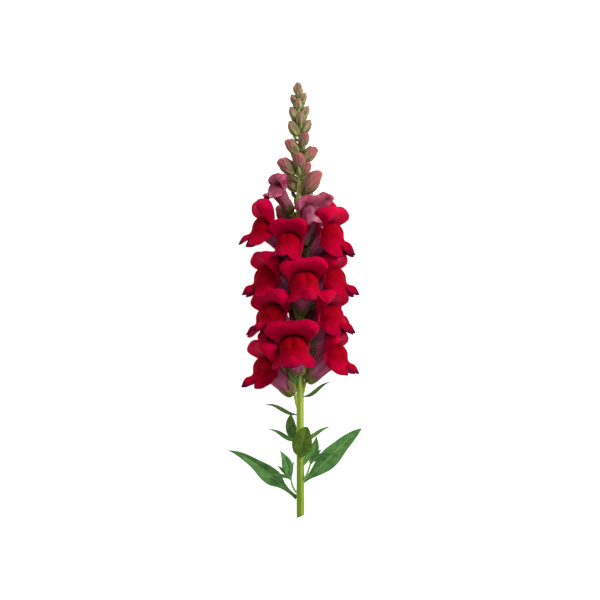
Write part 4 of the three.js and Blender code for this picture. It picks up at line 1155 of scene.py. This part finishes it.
def leaf_rings(blade, steps=56, across_steps=20):
    """Flat rings along a leaf, with how far along, how far to the side and on which face they are."""
    t = (0.02 + 0.965 * np.linspace(0, 1, steps + 1))[:, None]
    side = np.linspace(-1, 1, across_steps + 1)
    line, width, piece = blade["line"], blade["width"], blade["piece"]
    fold, wave = blade.get("fold", 0.25), blade.get("wave", 0.04)
    ahead = heading(line, t[:, 0])
    across = unit(np.cross(ahead, unit(np.array(blade["face"], float))))
    lift = np.cross(across, ahead)
    outline = {key: blade[key] for key in ("peak", "blunt", "profile") if key in blade}
    half = width / 2 * leaf_width(t, blade.get("petiole", PETIOLE), **outline)
    ripple = wave * width * np.sin(9 * t + 2 * piece + 1.3 * smooth(side, -0.1, 0.1)) * abs(side)
    rise = fold * (abs(side) ** 1.15) * half + ripple
    thick = LEAF_THICKNESS / 2 * np.minimum(1, half / 0.6)
    middle = bend(line, t[:, 0])[:, None] + (side * half)[..., None] * across[:, None]
    edge = np.sqrt(np.maximum(0, 1 - abs(side) ** 3)) * 0.8
    groove = 0.22 * bell(side * half, 0, 0.45) * smooth(half, 0.6, 2.0)
    rib = 0.4 * bell(side * half, 0, 0.5) * smooth(half, 0.4, 1.6)
    top = middle + (rise + thick * edge - groove)[..., None] * lift[:, None]
    under = middle + (rise - thick * edge - rib)[..., None] * lift[:, None]
    rings = np.concatenate([top, under[:, -2:0:-1]], axis=1)
    ring_side = np.concatenate([side, side[-2:0:-1]])
    upper = np.concatenate([np.ones(len(side)), np.zeros(len(side) - 2)])
    return rings, t + 0 * ring_side, ring_side[None] + 0 * t, upper[None] + 0 * t


def add_leaf(shape, blade, **kind):
    rings, along, side, upper = leaf_rings(blade, **kind)
    shape.grid(rings, closed=True, caps=True, along=along, side=side, upper=upper)


places = np.linspace(0, 1, 101)
widest = places[leaf_width(places, PETIOLE).argmax()]
print("a plain leaf is widest at", round(float(widest), 2), "of its length")

# %% The leaves
# The outlines of the two large leaves: half the width at each place, as a share of the widest
WIDE_LOW = [0.26, 0.2, 0.4, 0.98, 0.94, 0.62, 0.42, 0.22, 0.02]
WIDE_MIDDLE = [0.18, 0.24, 0.6, 0.96, 1.0, 0.8, 0.6, 0.34, 0.02]
LEAF_LINES = [
    [(-1.4, 13.1, -0.8), (-13, 21, -0.6), (-29, 42.5, 7), (-48.6, 45.2, 2)],
    [(1.4, 23.5, -0.8), (14, 33, 0.4), (26.5, 50.5, 7), (41, 60.3, 2.4)],
    [(0.2, 41.2, 2.2), (0.2, 45, 6.5), (1.6, 53, 13), (4.4, 62.6, 14.5)],
    [(-2.2, 50.5, -2), (-5.2, 54, -4), (-6.8, 62, -6.5), (-6.2, 68.6, -8.5)],
    [(-2.2, 51, 0.8), (-9, 52, 2.4), (-13, 60.4, 5), (-22.8, 59.4, 4)],
    [(2.2, 51.2, -0.8), (8.4, 53, 0), (13, 61.2, 1.6), (22, 61, 0)],
    [(0.4, 33.2, -2.2), (3, 38, -7), (4, 47, -15), (9, 56, -17)],
]
LEAF_FORMS = [
    dict(width=11.8, face=(0.35, -0.5, 1), fold=0.3, wave=0.07, profile=WIDE_LOW),
    dict(width=13, face=(-0.3, -0.45, 1), fold=0.28, wave=0.06, profile=WIDE_MIDDLE),
    dict(width=14.4, face=(-0.25, -0.65, 1), fold=0.22, petiole=0.2, peak=1.3, blunt=0.64),
    dict(width=8.2, face=(-0.35, 0.3, 1), fold=0.2, petiole=0.34, peak=1.1, blunt=0.75),
    dict(width=3.6, face=(0.1, -0.6, 1), fold=0.3, petiole=0.5),
    dict(width=3.4, face=(0.1, -0.6, 1), fold=0.3, petiole=0.5),
    dict(width=8.6, face=(0.1, 0.7, 1), fold=0.24, wave=0.05),
]
BROAD_LEAF, LEAF_BEHIND = 3, 4  # the two leaves with a finish of their own
for number, (line, form) in enumerate(zip(LEAF_LINES, LEAF_FORMS), 1):
    shape = Shape()
    add_leaf(shape, dict(form, line=line, piece=number))
    finish = {BROAD_LEAF: olive_leaf, LEAF_BEHIND: bract_green}.get(number, leaf_green)
    made = shape.piece(f"leaf_blade_{number}", finish, [f"leaf_{number}"], "leaf_green")
    print(made.name, fit_of(made, f"leaf_{number}"))

# %% [markdown]
# ## Side shoots and bracts
#
# Two thin shoots with four leaves each stand in front of the large leaves, and four narrow bracts
# stand out under the lowest blooms. They are drawn with the same blade as the leaves.

# %% Shoots and bracts
def leaf(*line, width, face, **more):
    """A leaf along the cubic curve of four control points, with its upper side turned to face."""
    return dict(line=line, width=width, face=face, **more)


def sliver(*line, width, slope, petiole=0.5):
    return leaf(*line, width=width, face=(0, slope, 1), petiole=petiole)


LEFT_LEAVES = [
    leaf((-5.9, 26.5, 4), (-8, 33, 5), (-9, 41, 8.5), (-13.6, 46.2, 9.5), width=7.8, face=(0.3, -0.2, 1)),
    sliver((-6.2, 27.5, 4.2), (-9, 30.5, 5.4), (-12.5, 34.5, 6), (-15.8, 35.8, 6), width=2.8, slope=-0.4),
    sliver((-6.2, 28, 4.4), (-6.4, 32, 5.6), (-5.6, 36.5, 6.2), (-3.6, 38.8, 6.4), width=2.8, slope=-0.3),
    sliver((-6, 26.5, 4.2), (-9.5, 29, 6.4), (-15, 31, 8), (-19.5, 29.6, 7.8), width=3.2, slope=-0.6),
]
RIGHT_LEAVES = [
    sliver(
        (6.8, 36.5, 4.4), (11, 42.5, 6.5), (17, 45.4, 9), (25.4, 43.2, 8.5),
        width=4.4, slope=-0.6, petiole=0.4,
    ),
    leaf((7.6, 39, 4.8), (8.8, 44, 5), (11.2, 50, 5.6), (10.8, 56, 6.5), width=6.4, face=(-0.2, -0.2, 1)),
    sliver((7.6, 39, 4.8), (10, 43, 7), (12.5, 45.8, 8.5), (14.8, 46.9, 9), width=2.6, slope=-0.5),
    sliver((6.8, 37, 4.4), (6.6, 40.5, 5.4), (6.4, 43, 5.4), (7, 46, 5), width=2.8, slope=-0.3),
]
SHOOTS = [
    ("left", [(-2.2, 17.2, 1.4), (-4.8, 20, 3), (-5.6, 23.5, 3.6), (-6.4, 29.5, 4.4)], LEFT_LEAVES),
    ("right", [(2.2, 26, 1.4), (5.2, 29, 3), (5.8, 33, 4), (8, 40.5, 5)], RIGHT_LEAVES),
]
BRACTS = [
    leaf((-1.2, 69.5, 0.6), (-9, 67.5, 2), (-14, 78.5, 3), (-24.8, 75.2, 2), width=3.6, face=(0.1, -0.7, 1)),
    leaf((1.2, 81.4, 0.6), (9, 80.0, 2), (12.5, 90.5, 3), (21.8, 91.3, 3), width=3.4, face=(-0.1, -0.7, 1)),
    leaf((-0.4, 90.8, 0.6), (-2, 91, 5), (-5.6, 93.5, 8), (-8.6, 99.5, 9), width=5.6, face=(0, -0.5, 1)),
    leaf((1.2, 108.5, 0.6), (5, 108, 2.4), (8.5, 110, 3), (11.6, 113.4, 2), width=3.2, face=(-0.1, -0.6, 1)),
]
for hand, stalk, leaves in SHOOTS:
    shape = Shape()
    points, ridge, turn = tube_along(stalk, lambda t: mix(0.8, 0.6, t))
    shape.grid(points, closed=True, caps=True, along=0.5 + 0 * ridge, side=0.0, upper=0.6)
    for number, blade in enumerate(leaves):
        add_leaf(shape, dict(blade, piece=10 + number), steps=36, across_steps=14)
    node = "side_shoot_" + hand
    made = shape.piece("shoot_" + hand, leaf_green, [node], "leaf_green")
    print(made.name, fit_of(made, node))
shape = Shape()
for number, blade in enumerate(BRACTS):
    add_leaf(shape, dict(blade, piece=20 + number), steps=36, across_steps=14)
made = shape.piece("bracts", bract_green, ["stem"], "stem_green")
print("bracts:", len(made.data.polygons), "faces")

# %% [markdown]
# Each bud but the smallest ones at the tip also stands over a small bract of its own, like a spoon
# that holds it from below. It is the same blade again, short and deeply folded, so it needs no shape
# of its own.

# %% Bracts of the buds
def bud_bract(bud, piece):
    """The small bract that holds a bud from below: it leaves the stem there and cups the bud."""
    size = bud["size"]
    middle, radius = stem_at(bud["height"] - 0.62 * size)
    turn = np.radians(bud["turn"])
    out = np.array([np.sin(turn), 0, np.cos(turn)])
    foot = middle + out * radius * 0.7
    reach = 0.5 + 0.08 * vary(piece, 17)
    points = [foot, foot + out * size * 0.3, foot + out * size * reach + [0, size * 0.3, 0]]
    tip = foot + out * size * (reach + 0.1) + [0, size * (0.72 + 0.1 * vary(piece, 18)), 0]
    face = out * 0.4 - np.array([0, 1.0, 0])
    return leaf(*points, tip, width=size * 0.42, face=-face, fold=0.45, petiole=0.6, peak=0.7, piece=piece)


shape = Shape()
for number, bud in enumerate(BUDS[:-TIP_BUDS]):
    add_leaf(shape, bud_bract(bud, 60 + number), steps=18, across_steps=8)
made = shape.piece("bud_bracts", bract_green, ["stem"], "stem_green")
print("bud bracts:", len(made.data.polygons), "faces")

# %% [markdown]
# ## Table, light and camera
#
# The spike lies on a plain white table. A large flat face is enough for it, and it glows a little
# so that it stays white beside the shadows.

# %% Table
SIDE = 8.0  # metres from the middle to each edge, so that no edge comes into view
GLOW = 0.8  # the table's own light
corners = [(-SIDE, -SIDE, 0), (SIDE, -SIDE, 0), (SIDE, SIDE, 0), (-SIDE, SIDE, 0)]
table_mesh = bpy.data.meshes.new("table")
table_mesh.from_pydata(corners, [], [(0, 1, 2, 3)])
table = bpy.data.objects.new("table", table_mesh)
bpy.context.scene.collection.objects.link(table)
white = Finish("white table", 0.9)
white.shader.inputs["Base Color"].default_value = (0.93, 0.93, 0.93, 1)
white.shader.inputs["Emission Color"].default_value = (1, 1, 1, 1)
white.shader.inputs["Emission Strength"].default_value = GLOW
table_mesh.materials.append(white.material)
print("the table reaches", SIDE, "m to each side")

# %% [markdown]
# A soft light over the spike's upper right draws the ruffles with clear shadows, as a studio lamp
# does. A weaker one over the lower left and the white surroundings keep those shadows open.

# %% Light
SURROUNDINGS = 0.3  # brightness of the white world
world = bpy.data.worlds.new("studio")
bpy.context.scene.world = world
world.use_nodes = True
world.node_tree.nodes["Background"].inputs["Color"].default_value = (1, 1, 1, 1)
world.node_tree.nodes["Background"].inputs["Strength"].default_value = SURROUNDINGS


def soft_light(name, at, size, power):
    """A square light that faces the middle of the spike."""
    light = bpy.data.lights.new(name, "AREA")
    light.size, light.energy = size, power
    lamp = bpy.data.objects.new(name, light)
    lamp.location = at
    lamp.rotation_euler = Vector(SPIKE_MIDDLE - np.array(at)).to_track_quat("-Z", "Y").to_euler()
    bpy.context.scene.collection.objects.link(lamp)
    print(name, "light:", power, "watts,", size, "m wide")


SPIKE_MIDDLE = np.array([0.0, 0.0, 0.03])
soft_light("key", (0.8, 0.65, 0.75), 0.6, 14.0)
soft_light("fill", (-0.3, -0.5, 1.2), 0.9, 1.2)

# %% [markdown]
# A long lens from about a metre above keeps the spike's parts in the sizes that a photograph from
# across a table shows, with little widening of what is nearest.

# %% Camera
LENS, SENSOR = 85.0, 36.0
FRAME_WIDTH = 0.4  # metres seen across, at the height of the stem
camera_data = bpy.data.cameras.new("camera")
camera_data.lens, camera_data.sensor_width = LENS, SENSOR
camera = bpy.data.objects.new("camera", camera_data)
stem_height = CUT_END[2] * MM
camera.location = (CUT_END[0] * MM, 0.0, stem_height + FRAME_WIDTH * LENS / SENSOR)
bpy.context.scene.collection.objects.link(camera)
bpy.context.scene.camera = camera
bpy.context.scene.view_settings.view_transform = "Standard"
print("the camera stands", round(camera.location.z, 2), "m above the table")
